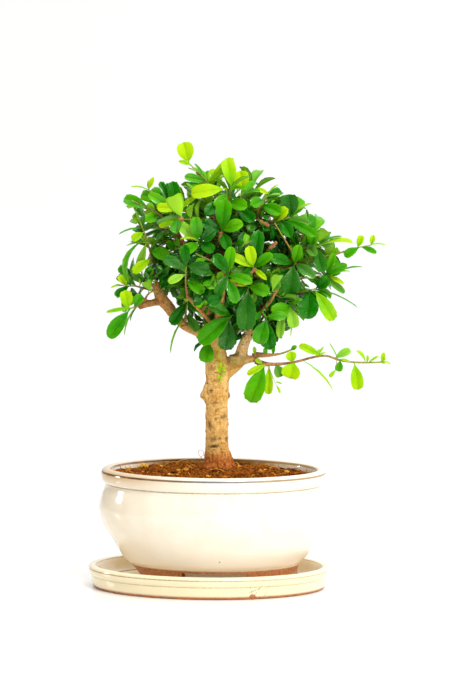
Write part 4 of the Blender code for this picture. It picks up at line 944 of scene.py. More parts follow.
# Leaf outline as (share of length, share of half width), from the stalk to the widest place, then
# the end, with a blunt tooth on each side or without.
LEAF_SIDE = ((0.0, 0.0), (0.30, 0.55), (0.64, 1.0))
TOOTHED_END = ((0.90, 0.80), (0.89, 0.50), (1.0, 0.0))
PLAIN_END = ((0.91, 0.72), (1.0, 0.0))
SMALL_SIDE = ((0.0, 0.0), (0.52, 1.0))
SMALL_END = ((0.86, 0.78), (1.0, 0.0))
BUD_END = ((1.0, 0.0),)
SEEN_TO_REAL_WIDTH = 1.1
BUD_WIDTH = 4.5
SMALL_WIDTH = 7.2
STALK_HALF_WIDTH = 0.33
BLADE_HALF_THICKNESS = 0.45
LEAF_FOLD = math.radians(16)
LEAF_BEND = math.radians(38)
LEAF_CLEARANCE = 0.22
LEAF_TRIES = 14
LEAF_DEPTH_STEP = 1.7
ROSETTE_FOOT_SHARE = 0.25
SPIRAL_FOOT_SHARE = 0.1
SHELL_SIDES = 8
SHELL_TURNS = [2 * math.pi * corner / SHELL_SIDES for corner in range(SHELL_SIDES)]
FOOT_SPACING = 1.5
FOOT_ROOM = 0.8

# %% [markdown]
# A twig starts at the bark and runs clear of the rest, so a few helpers measure along a route and
# from a point to the wood. Tapered tubes stand for the limbs, since they are quick to measure.

# %% Measuring along routes
def route_length(stations):
    return sum(float(np.linalg.norm((b - a)[:3])) for a, b in zip(stations, stations[1:]))


def along(stations, share):
    """The point at a share of a route's length, and the route's direction there."""
    points = [Vector(station[:3]) for station in stations]
    lengths = [(b - a).length for a, b in zip(points, points[1:])]
    left = share * sum(lengths)
    for start, end, length in zip(points, points[1:], lengths):
        if left <= length:
            return start.lerp(end, left / length), (end - start).normalized()
        left -= length
    return points[-1], (points[-1] - points[-2]).normalized()


def square_to(direction, rough):
    """The part of a rough direction that stands square to another, at unit length."""
    across = rough - direction * rough.dot(direction)
    if across.length < 0.05:
        across = direction.orthogonal()
    return across.normalized()


def two_sides(direction):
    """Two directions that stand square to a third and to each other."""
    side = direction.orthogonal().normalized()
    return side, direction.cross(side)


class Stems:
    """The tapered tubes of the wood, for measuring how far a point lies from the bark."""

    def __init__(self, tubes):
        pairs = [(a, b) for stations in tubes for a, b in zip(stations, stations[1:])]
        self.start = np.array([a[:3] for a, b in pairs])
        self.run = np.array([b[:3] - a[:3] for a, b in pairs])
        self.radius = np.array([(a[3], b[3]) for a, b in pairs])

    def feet(self, point):
        """For each tube, the share of its run that lies nearest to a point, and the way to the point."""
        offset = np.array(point) - self.start
        share = np.clip((offset * self.run).sum(1) / (self.run ** 2).sum(1), 0.0, 1.0)
        return share, offset - self.run * share[:, None]

    def gap(self, point):
        """Distance from a point to the nearest bark, less than zero inside the wood."""
        share, way = self.feet(point)
        reach = np.linalg.norm(way, axis=1)
        return float((reach - self.radius[:, 0] * (1 - share) - self.radius[:, 1] * share).min())

    def ring_gap(self, point, direction, radius):
        """The least gap from a ring round a twig's middle line to the bark."""
        side = direction.orthogonal().normalized() * radius
        other = direction.cross(side)
        turns = (side, other, (side + other) * HALF_ROOT, (side - other) * HALF_ROOT)
        return min(self.gap(point + way * turn) for turn in turns for way in (1, -1))

    def nearest(self, point):
        """The nearest point on the middle line of the wood."""
        spots = self.start + self.run * self.feet(point)[0][:, None]
        return spots[np.linalg.norm(np.array(point) - spots, axis=1).argmin()]


def tube_shell(stations, extra):
    """Flat-sided shell round a tube, a little outside it, as points and faces for a touch test."""
    points = []
    for index, station in enumerate(stations):
        ahead = stations[min(index + 1, len(stations) - 1)][:3]
        behind = stations[max(index - 1, 0)][:3]
        side, other = two_sides(Vector(ahead - behind).normalized())
        reach = (station[3] + extra) / math.cos(math.pi / SHELL_SIDES)
        points += [Vector(station[:3]) + (side * math.cos(a) + other * math.sin(a)) * reach
                   for a in SHELL_TURNS]
    faces = []
    for near in range(0, (len(stations) - 1) * SHELL_SIDES, SHELL_SIDES):
        for corner in range(SHELL_SIDES):
            after = near + (corner + 1) % SHELL_SIDES
            faces.append((near + corner, after, after + SHELL_SIDES, near + corner + SHELL_SIDES))
    return points, faces


# %% [markdown]
# A leaf is an arched blade, folded a little along its midrib. Its own frame of directions says
# where any point of it lies, and a closed shell round it tests whether the place is free.

# %% One leaf
def leaf_plan(width, toothed):
    """Outline shares of a leaf, with fewer points where it is small."""
    if width < SMALL_WIDTH:
        return SMALL_SIDE, BUD_END if width < BUD_WIDTH else SMALL_END
    return LEAF_SIDE, TOOTHED_END if toothed else PLAIN_END


class Leaf:
    """One blade on its stalk, arched along its length and folded along its midrib."""

    def __init__(self, base, tip, width, facing, toothed, bend=LEAF_BEND, look=None):
        self.base = Vector(base)
        self.width = width
        self.toothed = toothed
        self.look = look
        self.bend = bend
        chord = Vector(tip) - self.base
        heading = chord.normalized()
        upper = square_to(heading, facing)
        self.side = heading.cross(upper)
        self.heading = heading * math.cos(bend / 2) + upper * math.sin(bend / 2)
        self.upper = upper * math.cos(bend / 2) - heading * math.sin(bend / 2)
        self.length = chord.length * (bend / 2) / math.sin(bend / 2)

    def place(self, along_share, across, lift):
        """A point of the leaf: share of its length, millimetres across and millimetres off its face."""
        turn = self.bend * along_share
        forward = self.length * math.sin(turn) / self.bend
        drop = self.length * (1 - math.cos(turn)) / self.bend
        normal = self.upper * math.cos(turn) + self.heading * math.sin(turn)
        rise = abs(across) * math.sin(LEAF_FOLD) + lift
        middle = self.base + self.heading * forward - self.upper * drop
        return middle + self.side * (across * math.cos(LEAF_FOLD)) + normal * rise

    def shell(self, start=0.0, clearance=LEAF_CLEARANCE, thick=BLADE_HALF_THICKNESS):
        """The blade grown by its clearance and given a rim, for a touch test, whole or from a share on."""
        side, end = leaf_plan(self.width, self.toothed)
        half = self.width / 2
        edge = [(t, STALK_HALF_WIDTH + u * (half - STALK_HALF_WIDTH) + clearance) for t, u in side]
        edge += [(t, half * u + clearance) for t, u in end[:-1]]
        ring = edge + [(1.0 + clearance / self.length, 0.0)] + [(t, -across) for t, across in reversed(edge)]
        points = []
        for way in (1, -1):
            points += [self.place(max(t, start), across, way * clearance) for t, across in ring]
            points.append(self.place(side[-1][0], 0.0, way * (thick + clearance)))
        size = len(ring)
        faces = [(step, step + 1, size) for step in range(size - 1)]
        faces += [tuple(corner + size + 1 for corner in face) for face in faces]
        faces += [(i, i + 1, i + size + 2, i + size + 1) for i in range(size - 1)]
        return points, faces


# %% [markdown]
# Leaves never pass through each other on the living plant. So each new leaf is tried against all
# that stands already, and is turned or moved a little until it has room.

# %% Growing the plant
def measured(shell, outer):
    """A shell's middle, its reach, and touch tests for all of it and for its outer part."""
    points, faces = shell
    middle = sum(points, Vector()) / len(points)
    whole = BVHTree.FromPolygons(points, faces)
    reach = max((point - middle).length for point in points)
    return middle, reach, whole, BVHTree.FromPolygons(*outer) if outer else whole


class Crown:
    """What already stands in the crown, for finding room for the next leaf."""

    def __init__(self, wood_stations):
        self.taken = []
        for stations in wood_stations:
            self.add("wood", tube_shell(stations, SEAT_GAP))

    def add(self, owner, shell, outer=None):
        """Note a shell, and for a leaf its outer part, which is all that its own shoot keeps clear of."""
        self.taken.append((owner, *measured(shell, outer)))

    def is_free(self, shell, outer=None, owner=None, beside=None):
        """Whether a shell meets nothing but what it grows from and the feet of its own shoot's leaves."""
        middle, reach, whole, part = measured(shell, outer)
        for other, other_middle, other_reach, other_whole, other_part in self.taken:
            if other == beside or (other_middle - middle).length > reach + other_reach:
                continue
            if part.overlap(other_part) if other == owner else whole.overlap(other_whole):
                return False
        return True

    def has_room_for_twig(self, stations, gap):
        """Whether a twig stands clear of all but the wood, and past its first station of that too."""
        return (self.is_free(tube_shell(stations[1:], gap))
                and self.is_free(tube_shell(stations, gap), beside="wood"))


def seat_on_wood(route, stems):
    """Start a twig just off the bark of the limb that carries it."""
    root = stems.nearest(route[0])
    stations = smooth_route([root] + [np.array(point, dtype=float) for point in route[1:]], TWIG_STEP / 4)
    reach = route_length(stations)
    share = 0.0
    while share < LATEST_START and stems.ring_gap(*along(stations, share), TWIG_RADIUS) < SEAT_GAP:
        share += TWIG_START_STEP / reach
    count = max(TWIG_SHORTEST, round(reach * (1 - share) / TWIG_STEP))
    return [np.append(along(stations, share + (1 - share) * index / count)[0],
                      TWIG_RADIUS * (1 - (1 - TWIG_TIP_SHARE) * index / count)) for index in range(count + 1)]


def place_leaf(crown, name, make_leaf, foot_share, tries=LEAF_TRIES, skin=(), suits=None):
    """Try a leaf in the places that make_leaf gives until one is free."""
    for attempt in range(tries):
        leaf = make_leaf(attempt)
        whole, outer = leaf.shell(0.0, *skin), leaf.shell(foot_share, *skin)
        if (not suits or suits(leaf)) and crown.is_free(whole, outer, name, name + " twig"):
            crown.add(name, whole, outer)
            return [leaf]
    return []


def leaves_of_shoot(crown, name, stations, tints, rows):
    """The leaves chosen for a shoot, moved in depth where another leaf is in the way."""
    leaves = []
    spacing = min(FOOT_SPACING / route_length(stations), FOOT_ROOM / len(rows))
    last = 2.0
    for index, row in sorted(enumerate(rows), key=lambda pair: -pair[1][0]):
        share, x, y, z, width, facing = (*row, FRONT)[:6]
        bend = math.radians(row[6]) if len(row) > 6 else LEAF_BEND
        last = min(share, last - spacing)
        base = along(stations, last)[0]

        def make_leaf(attempt):
            depth = (attempt + 1) // 2 * LEAF_DEPTH_STEP * (-1) ** attempt
            return Leaf(base, (x, y + depth, z), width * SEEN_TO_REAL_WIDTH, facing, index % 3 != 2, bend,
                        TINT_AGES[tints[index]])

        leaves += place_leaf(crown, name, make_leaf, ROSETTE_FOOT_SHARE)
    return leaves


def fill_direction(index, count=FILL_SHOOTS):
    """One of a set of directions spread over a sphere, closer together at the back."""
    height = 1 - 2 * (index + 0.5) / count
    turn = index * GOLDEN_ANGLE
    flat = math.sqrt(1 - height ** 2)
    return Vector((flat * math.cos(turn), flat * math.sin(turn) + FILL_BACKWARD, height)).normalized()


def crown_reach(direction):
    """Half size of the crown in a direction, less low down and least at the left, where it is open."""
    reach = Vector(a * b for a, b in zip(direction, CROWN_HALF))
    if direction.x < -0.2 and direction.z < 0:
        reach *= 0.72
    elif direction.z < -0.3:
        reach *= 0.84
    return reach


def chance(draw, *ranges):
    """A vector drawn from a range for each of its parts."""
    return Vector([draw.uniform(low, high) for low, high in ranges])


def bowed(root, tip, draw):
    """A route from root to tip that bows a little, mostly upward."""
    return [root, root.lerp(tip, 0.5) + chance(draw, (-3, 3), (-3, 3), (-1, 4)), tip]


def fill_route(index, draw, stems):
    """A twig from the wood out to one of the evenly spread tips."""
    direction = fill_direction(index)
    tip = CROWN_MIDDLE + crown_reach(direction) * draw.uniform(0.76, 0.9)
    tip += chance(draw, (-4, 4), (-4, 4), (-3, 3))
    inner = CROWN_MIDDLE.lerp(tip, draw.uniform(0.35, 0.6))
    return bowed(Vector(stems.nearest(inner)), tip, draw)


def spiral_leaves(crown, name, stations, draw, shares, lean=(0, 0, 0.7), sway_share=0.35, sizes=(), **rules):
    """Leaves in a spiral round a twig, at the given shares of its length, where they find room."""
    leaves = []
    turn = draw.uniform(0, 2 * math.pi)
    for index, share in enumerate(shares):
        base, direction = along(stations, share)
        outward = (base - CROWN_MIDDLE).normalized()
        length = draw.uniform(*LEAF_LENGTH_RANGE) * (draw.choice(sizes) if sizes else 1)
        width = length * draw.uniform(*LEAF_WIDTH_SHARE_RANGE)
        turn += GOLDEN_ANGLE
        side, other = two_sides(direction)
        spread = draw.uniform(*LEAF_SPREAD_RANGE)
        facing = outward + Vector(lean) + chance(draw, (-1, 1), (-1, 1), (-1, 1)) * sway_share

        def make_leaf(attempt):
            angle = turn + attempt * LEAF_TURN_PER_TRY
            size = 1 - LEAF_SHRINK_PER_TRY * attempt
            across = side * math.cos(angle) + other * math.sin(angle)
            heading = direction * math.cos(spread) + across * math.sin(spread) + outward * LEAF_OUTWARD_PULL
            tip = base + heading.normalized() * length * size
            return Leaf(base, tip, width * size, facing, index % 3 != 2)

        leaves += place_leaf(crown, name, make_leaf, SPIRAL_FOOT_SHARE, **rules)
    return leaves


def grow_plant():
    """Work out the limbs, then every twig, then every leaf, so that none crosses another."""
    limbs = {name: smooth_route(points, LIMB_STEP) for name, points in LIMBS.items()}
    stems = Stems(limbs.values())
    crown = Crown(limbs.values())
    twigs = {}
    for name, (_, route, _) in SHOOTS.items():
        twigs[name] = seat_on_wood(route, stems)
        crown.add(name + " twig", tube_shell(twigs[name], SEAT_GAP))
    for index in range(FILL_SHOOTS):
        name = f"fill_{index + 1:02d}"
        draw = random.Random(FILL_SEED * 1000 + index)
        for _ in range(FILL_TRIES):
            stations = seat_on_wood(fill_route(index, draw, stems), stems)
            if crown.has_room_for_twig(stations, SEAT_GAP):
                twigs[name] = stations
                crown.add(name + " twig", tube_shell(stations, SEAT_GAP))
                break
    leaves = {}
    for name, stations in twigs.items():
        if name in SHOOTS:
            tints, _, rows = SHOOTS[name]
            leaves[name] = leaves_of_shoot(crown, name, stations, tints, rows)
        else:
            leaves[name] = spiral_leaves(crown, name, stations, random.Random(name), FILL_SHARES)
    return limbs, twigs, leaves, crown, stems


limb_routes, twig_routes, shoot_leaves, crown, stems = grow_plant()
print(len(twig_routes), "shoots with", sum(map(len, shoot_leaves.values())), "leaves")

# %% [markdown]
# The living crown is so dense that hardly any light comes through. The solids hold only as many
# leaves as their limits allow, so the rest grow here: more leaves in a spiral on every twig, then
# more twigs from the wood. They keep inside the outline of the leafy mass, leave its few gaps open
# and never stand in front of a leaf that was placed one by one. Their blades are as thin as real
# ones, so more of them find room.

# %% Room for more leaves
MASS_EDGE = (
    (-48, 291), (-32, 296), (-7, 301), (21, 295), (37, 287), (64, 278), (77, 262), (90, 247), (91, 224),
    (90, 206), (77, 195), (54, 186), (43, 172), (21, 179), (8, 169), (0, 168), (-9, 187), (-25, 201),
    (-42, 210), (-58, 193), (-69, 203), (-68, 238), (-62, 267),
)
LIGHT_GAPS = (
    (15.6, 261.4, 2.2), (32.6, 269.3, 2.2), (-16.7, 231, 2.2), (-18.9, 212.7, 2.8), (-12.8, 209.5, 2.2),
    (26.6, 214.1, 2.2), (-46.9, 233.8, 3.5), (-52.6, 213.4, 4.5), (-27, 206.2, 4.5), (69.9, 217, 3.5),
)
BARE_BELOW = {"left": 216, "left_arm": 216, "trunk": 188, "right": 186, "low_right": 200}
KEPT_CLEAR = 2.0
LEAF_SPACING = 5.5
CROWN_DEPTH = 62.0
CROWN_HEIGHT = 66.0


def in_mass(point):
    """Whether a point lies inside the outline of the leafy mass, seen from the front."""
    inside = False
    for (x0, z0), (x1, z1) in zip(MASS_EDGE, MASS_EDGE[1:] + MASS_EDGE[:1]):
        if (z0 > point.z) != (z1 > point.z) and point.x < x0 + (point.z - z0) / (z1 - z0) * (x1 - x0):
            inside = not inside
    return inside


chosen_spots = np.array(
    [(*leaf.place(share, 0, 0), leaf.width / 2) for name in SHOOTS for leaf in shoot_leaves[name]
     for share in (0.35, 0.6, 0.85)]
    + [(*Vector(station[:3]), station[3]) for name, top in BARE_BELOW.items()
       for station in smooth_route(LIMBS[name], 5.0) if station[2] < top])


def stands_well(leaf):
    """Whether a leaf is inside the mass, off its gaps, and not in front of a chosen leaf or bare wood."""
    for share in (0.3, 0.65, 1.0):
        spot = leaf.place(share, 0, 0)
        height = (spot.z - CROWN_MIDDLE.z) / CROWN_HEIGHT
        if not in_mass(spot) or math.hypot(spot.y / CROWN_DEPTH, height) > 1:
            return False
        if any(math.hypot(spot.x - x, spot.z - z) < r for x, z, r in LIGHT_GAPS):
            return False
        away = np.hypot(chosen_spots[:, 0] - spot.x, chosen_spots[:, 2] - spot.z)
        if ((away < chosen_spots[:, 3] + KEPT_CLEAR) & (chosen_spots[:, 1] > spot.y)).any():
            return False
    return True


EXTRA_RULES = {"lean": (0, -0.3, 0.7), "sway_share": 0.75, "sizes": (1.05, 1.0, 0.95, 0.8, 0.6), "tries": 16,
               "skin": (0.05, 0.16), "suits": stands_well}
more_on_shoots = {}
for name, stations in twig_routes.items():
    count = max(2, round(route_length(stations) / LEAF_SPACING))
    more_on_shoots[name] = spiral_leaves(crown, name, stations, random.Random(name + " more"),
                                         [0.98 - 0.85 * i / count for i in range(count)], **EXTRA_RULES)
print("more leaves on the packed model's shoots:", sum(map(len, more_on_shoots.values())))

# %% [markdown]
# Further twigs then stand on the limbs. Sixty reach out to spots that are spread evenly over the
# crown, at any depth, and short ones break from the wood inside it, every second one straight to
# the front. One is kept only where it has room and can carry two leaves or more.

# %% More twigs
EXTRA_OUTER = 60
EXTRA_SPURS = 150
SPURS_ABOVE = 180
EXTRA_GAP = 0.1
EXTRA_SHARES = (1.0, 0.97, 0.93, 0.82, 0.7, 0.57, 0.44, 0.3, 0.16)


def outer_route(index, draw):
    """A twig out to one of many evenly spread tips, at any depth of the crown."""
    tip = CROWN_MIDDLE + crown_reach(fill_direction(index, EXTRA_OUTER)) * draw.uniform(0.55, 0.95)
    return Vector(stems.nearest(CROWN_MIDDLE.lerp(tip, draw.uniform(0.45, 0.8)))), tip


def spur_route(index, draw):
    """A short spur from a limb inside the crown, every second one straight to the front."""
    limbs = [station for name, route in limb_routes.items() for station in route
             if station[2] > SPURS_ABOVE and (index % 4 < 3 or "front" in name or "right" in name)]
    root = Vector(limbs[index * 7 % len(limbs)][:3])
    if index % 2:
        out, lengths = Vector((draw.uniform(-0.6, 0.6), -1, draw.uniform(-0.5, 0.7))), (6, 15)
    else:
        out, lengths = (root - CROWN_MIDDLE).normalized(), (13, 26)
        out += chance(draw, (-1, 1), (-1, 1), (-0.4, 1))
    return root, root + out.normalized() * draw.uniform(*lengths)


extra_twigs = {}
extra_shoot_leaves = {}
for index in range(EXTRA_OUTER + EXTRA_SPURS):
    name = f"more_{index + 1:03d}"
    draw = random.Random(name)
    for _ in range(FILL_TRIES):
        root, tip = outer_route(index, draw) if index < EXTRA_OUTER else spur_route(index, draw)
        if not in_mass(tip):
            continue
        stations = seat_on_wood(bowed(root, tip, draw), stems)
        if crown.has_room_for_twig(stations, EXTRA_GAP):
            crown.add(name + " twig", tube_shell(stations, EXTRA_GAP))
            leaves = spiral_leaves(crown, name, stations, draw, EXTRA_SHARES, **EXTRA_RULES)
            if len(leaves) > 1:
                extra_twigs[name] = stations
                extra_shoot_leaves[name] = leaves
            break
print(len(extra_twigs), "more twigs with", sum(map(len, extra_shoot_leaves.values())), "leaves")

# %% [markdown]
# The low twig carries more small leaves than its solid, and two hair-thin stalks hang from it. A
# lime bud breaks from the front of the trunk, and a bare twig crosses the crown at the right. The
# knobbly brown spurs are where the leaves of earlier years have dropped: those that show in front,
# and one at the end of every third ruled shoot.

# %% Small things that the photo shows
TO_FRONT = Vector((0.2, -1, 0.5))
LOW_TWIG_LEAVES = (  # foot, tip and width
    ((75.5, -8.6, 167.0), (79.9, -9.5, 173.8), 1.8), ((75.0, -8.6, 167.0), (77.0, -10.5, 172.2), 2.4),
    ((76.0, -8.6, 167.2), (81.5, -9.0, 169.6), 1.6), ((90.0, -8.4, 165.0), (83.8, -9.0, 176.6), 1.1),
    ((91.0, -8.4, 164.6), (98.6, -9.5, 163.2), 2.2), ((111.0, -8.4, 163.0), (110.8, -10.0, 168.0), 2.6),
    ((112.4, -8.4, 163.0), (119.2, -9.5, 167.4), 2.2), ((120.5, -8.2, 163.0), (124.3, -9.0, 165.7), 2.2),
    ((120.8, -8.2, 163.0), (123.6, -9.6, 161.9), 2.4), ((36.4, -9.5, 161.2), (31.2, -11.5, 164.0), 4.2),
)
STALK_RADIUS = 0.3
SMALL_THINGS = {  # a route, then leaves as foot, tip and width
    "low_twig_sprig": (((40, -9.5, 160.4), (43.5, -13.5, 153.5), (46.6, -14.5, 146.5)), (
        ((46.4, -14.5, 148.8), (50.6, -15.0, 147.3), 1.5),
        ((46.8, -14.6, 146.2), (49.3, -15.0, 140.6), 2.3))),
    "low_twig_drop": (((89.3, -8.6, 164.2), (88.9, -12, 160.5), (88.4, -12.5, 157.2)), (
        ((88.4, -12.5, 157.2), (84.2, -13.0, 152.3), 3.4),)),
    "trunk_bud": (((7.0, -8.0, 151.5, 0.6), (7.6, -9.4, 155, 0.5), (8.0, -9.8, 158.5, 0.4)), ()),
}
BUD_FOOT = Vector((7.0, -8.0, 151.5))
BUD_LEAF_WIDTH = 1.7
BUD_LEAVES = (  # how far up the bud, and which way it reaches
    (1.0, (-3.0, -1.0, -2.0)), (2.5, (4.2, -0.8, 1.4)), (3.5, (-3.2, -1.2, 2.2)), (4.5, (3.6, -0.6, 3.0)),
    (6.0, (-0.6, -1.4, 4.6)), (0.5, (0.4, -1.8, -4.4)))
SPURS = [
    ((5.5, -19.0, 247.5), (6.5, -20.5, 255.5)), ((33.0, -17.0, 263.5), (40.5, -19.5, 259.5)),
    ((40.0, -17.0, 243.0), (46.0, -19.0, 248.5)), ((59.5, -13.0, 234.0), (59.5, -14.5, 243.0)),
    ((22.0, -31.5, 222.5), (31.5, -34.0, 231.0)), ((14.0, -42.0, 215.0), (18.0, -44.0, 221.0)),
]
SPUR_LENGTH = 7
SPUR_GIRTHS = (0.5, 1.3, 2.1, 1.3, 2.4, 1.6, 2.7, 1.3)
BARE_TWIG = ((58.8, -13.5, 236.5, 0.9), (56.8, -15, 241, 0.85), (52.5, -17.5, 248.5, 0.75),
             (48.5, -19, 255, 0.75), (44.2, -20, 262, 0.7))


def placed_leaves(rows):
    return [Leaf(foot, tip, width, TO_FRONT, False, look=(0.7, 0.5) if width < 1.3 else (0.9, 0.2))
            for foot, tip, width in rows]


def add_twig(name, stations, leaves=()):
    extra_twigs[name] = [np.array(station) for station in stations]
    extra_shoot_leaves[name] = list(leaves)


more_on_shoots["low_twig_tip"] += placed_leaves(LOW_TWIG_LEAVES)
more_on_shoots["low_twig_upper"] += placed_leaves((((31.0, -7.3, 168.0), (30.6, -9.0, 173.2), 3.2),))
for name, (stalk, rows) in SMALL_THINGS.items():
    add_twig(name, [(*spot, STALK_RADIUS)[:4] for spot in stalk], placed_leaves(rows))
for name in sorted(name for name in twig_routes if name.startswith("fill"))[::3]:
    end, before = (station[:3] for station in twig_routes[name][:-3:-1])
    SPURS.append((end - SPUR_LENGTH * (end - before) / np.linalg.norm(end - before), end))
for number, (foot, tip) in enumerate(SPURS):
    spots = np.linspace(foot, tip, len(SPUR_GIRTHS))
    add_twig(f"spur_{number}", [(*spot, girth) for spot, girth in zip(spots, SPUR_GIRTHS)])
add_twig("crown_bare_twig", BARE_TWIG)
for rise, reach in BUD_LEAVES:
    base = BUD_FOOT + Vector((0.3, -1.2, rise))
    tip = BUD_FOOT + Vector((0.3, -1.6, rise)) + Vector(reach)
    extra_shoot_leaves["trunk_bud"].append(Leaf(base, tip, BUD_LEAF_WIDTH, TO_FRONT, False))
print(len(SPURS), "spurs and", len(SMALL_THINGS), "small things")

# %% [markdown]
# Wood first grows as plain tubes. One Geometry Nodes tree turns routes with a thickness into tubes,
# and serves the limbs as well as the twigs.

# %% Tubes along routes
def tube_tree():
    tree, given, result = new_tree("tubes_along_routes", Sides=(WHOLE, 12), Bark=(MATERIAL,))
    thickness = add(tree, "GeometryNodeInputNamedAttribute", {"Name": "thickness"}, "Attribute",
                    data_type="FLOAT")
    curve = add(tree, "GeometryNodeMeshToCurve", {"Mesh": given["Geometry"]})
    sized = add(tree, "GeometryNodeSetCurveRadius", {"Curve": curve, "Radius": thickness})
    ring = add(tree, "GeometryNodeCurvePrimitiveCircle", {"Resolution": given["Sides"], "Radius": 1.0},
               "Curve")
    tube = add(tree, "GeometryNodeCurveToMesh", {
        "Curve": sized, "Profile Curve": ring, "Fill Caps": True}, None)
    if "Scale" in tube.inputs:
        feed(tube, Scale=thickness)
    painted_tube = add(tree, "GeometryNodeSetMaterial", {
        "Geometry": Signal(tube.outputs[0]), "Material": given["Bark"]})
    feed(result, Geometry=painted_tube)
    return tree


TUBES = tube_tree()


def route_mesh(name, routes):
    """Routes of (x, y, z, radius) stations as lines with a thickness."""
    points = [station for route in routes for station in route]
    edges, start = [], 0
    for route in routes:
        edges += [(start + i, start + i + 1) for i in range(len(route) - 1)]
        start += len(route)
    mesh = bpy.data.meshes.new(name)
    mesh.from_pydata([Vector(point[:3]) * MM for point in points], edges, [])
    obj = put_in_scene(name, mesh)
    set_mask(obj, "thickness", [point[3] * MM for point in points])
    return obj


# %% [markdown]
# The tubes are melted into one skin by remeshing them at 0.75 mm and smoothing what is left of the
# seams. The bark's relief is then pushed in along the normals: flakes that run up the stem, fine
# crumbs over them, and the marks that the trunk shows, such as the dark cut scar near the foot and
# the small knots. More marks of the same kind are spread round the back by a seeded draw.

# %% Trunk and limbs
SKIN_CELL = 0.75
TRUNK_RADIUS = 8.0
TRUNK_MIDDLE = 4.8
TRUNK_TOP = 168
BARK_MARKS = (  # degrees round the trunk, height, half width, half height, tilt, relief and darkness
    (-14, 101.5, 4.2, 1.15, 10, -0.5, 1.0), (-18, 106.5, 2.3, 1.8, 0, -0.3, 0.7),
    (15, 107.2, 1.7, 1.0, 0, 0.3, 0.6), (58, 106.2, 1.6, 1.8, 0, 0.5, 0.6),
    (-6, 121.2, 1.0, 1.1, 0, 0.35, 0.8), (36, 122.8, 3.2, 1.5, 8, 0.3, 0.65),
    (-42, 116.5, 1.9, 2.8, 0, -0.35, 0.7), (-8, 132.8, 2.7, 0.8, 0, -0.25, 0.6),
    (80, 117.0, 1.4, 2.2, 0, 0.8, 0.4), (-75, 112.0, 1.0, 1.2, 0, 0.8, 0.6),
    (20, 128.5, 4.0, 0.35, 22, -0.2, 0.5), (-35, 141.0, 1.8, 1.2, 40, -0.3, 0.6),
    (-55, 138.0, 0.9, 3.4, 0, -0.4, 0.7), (-30, 157.0, 2.2, 1.6, 0, -0.25, 0.5),
    (-62, 151.0, 1.0, 1.2, 0, 0.5, 0.7), (60, 148.5, 1.0, 1.4, 0, 0.5, 0.5),
)
draw = random.Random(11)
BACK_MARKS = tuple(
    (draw.uniform(80, 280), draw.uniform(92, 160), draw.uniform(0.8, 3.0), draw.uniform(0.8, 2.0),
     draw.uniform(-20, 20), draw.choice((-0.4, -0.3, 0.4)), draw.uniform(0.4, 0.9)) for _ in range(26))

# The pruned knob runs up the stem as a ridge, and the low fork thins out into its two twigs.
KNOB_RIDGE = ((2.2, 0, 151, 4.6), (-0.2, -0.5, 142, 4.8), (-1.4, -0.5, 137, 4.6), (1.8, 0, 130, 4.6))
LOW_FORK_TAPER = (2.3, 1.9, 1.6, 1.35, 1.15)
THINNED_LIMBS = {"front_left": 0.62, "front_right": 0.62}
routes = [[(*station[:3], station[3] * THINNED_LIMBS.get(name, 1.0)) for station in smooth_route(route, 3.0)]
          for name, route in LIMBS.items()]
routes.append(smooth_route(KNOB_RIDGE, 3.0))
for name in ("low_twig_tip", "low_twig_upper"):
    route = smooth_route(twig_routes[name], 5.0)
    taper = [(*station[:3], radius) for station, radius in zip(route, LOW_FORK_TAPER)]
    routes.append(smooth_route(taper, 3.0))
wood = grown(route_mesh("bark_of_trunk_and_limbs", routes), TUBES, Sides=16)
remesh = wood.modifiers.new("one_skin", "REMESH")
remesh.voxel_size = SKIN_CELL * MM
smooth = wood.modifiers.new("soften", "SMOOTH")
smooth.factor, smooth.iterations = 0.5, 6
wood = settled(wood)

points = mesh_points(wood)
normals = np.empty(len(points) * 3)
wood.data.vertices.foreach_get("normal", normals)
stations = np.array([station for route in limb_routes.values() for station in route])
nearest = np.array([(np.sqrt(((stations[:, :3] - point) ** 2).sum(1)) - stations[:, 3]).argmin()
                    for point in points])
girth = np.clip(stations[nearest, 3] / TRUNK_RADIUS, 0.2, 1.0)
around = np.degrees(np.arctan2(points[:, 0] - TRUNK_MIDDLE, -points[:, 1]))
on_trunk = (girth > 0.85) & (points[:, 2] < TRUNK_TOP)


def flaked(x, y, z):
    """Relief of the bark in millimetres: plates, crumbs, a slow swell, and strands at the foot."""
    plates, crumbs, swell, strands = (noise.noise(Vector((x / wide, y / wide, z / tall))) for wide, tall in (
        (2.6, 3.4), (0.9, 1.2), (8, 10), (1.5, 9)))
    strands *= clamped((102 - z) / 8)
    return 0.55 * abs(plates) + 0.22 * crumbs + 0.6 * swell + 1.1 * strands


relief = girth ** 0.6 * np.array([flaked(*point) for point in points])
dark = np.zeros(len(points))
for azimuth, height, wide, tall, tilt, depth, strength in BARK_MARKS + BACK_MARKS:
    run = ((around - azimuth + 180) % 360 - 180) * math.radians(TRUNK_RADIUS)
    rise = points[:, 2] - height
    lean = math.radians(tilt)
    u = (run * math.cos(lean) + rise * math.sin(lean)) / wide
    v = (rise * math.cos(lean) - run * math.sin(lean)) / tall
    reach = np.exp(-(u ** 2 + v ** 2) ** 1.5) * on_trunk
    relief += depth * reach
    dark = np.maximum(dark, strength * reach)
points += normals.reshape(-1, 3) * relief[:, None]
wood.data.vertices.foreach_set("co", (points * MM).ravel())
wood.data.update()


def near(x, y, z, reach):
    """How near each point lies to a spot, from 1 down to 0 at one and a half times the reach."""
    away = np.sqrt(((points - (x, y, z)) ** 2).sum(1))
    return np.clip(1.5 - away / reach, 0, 1)


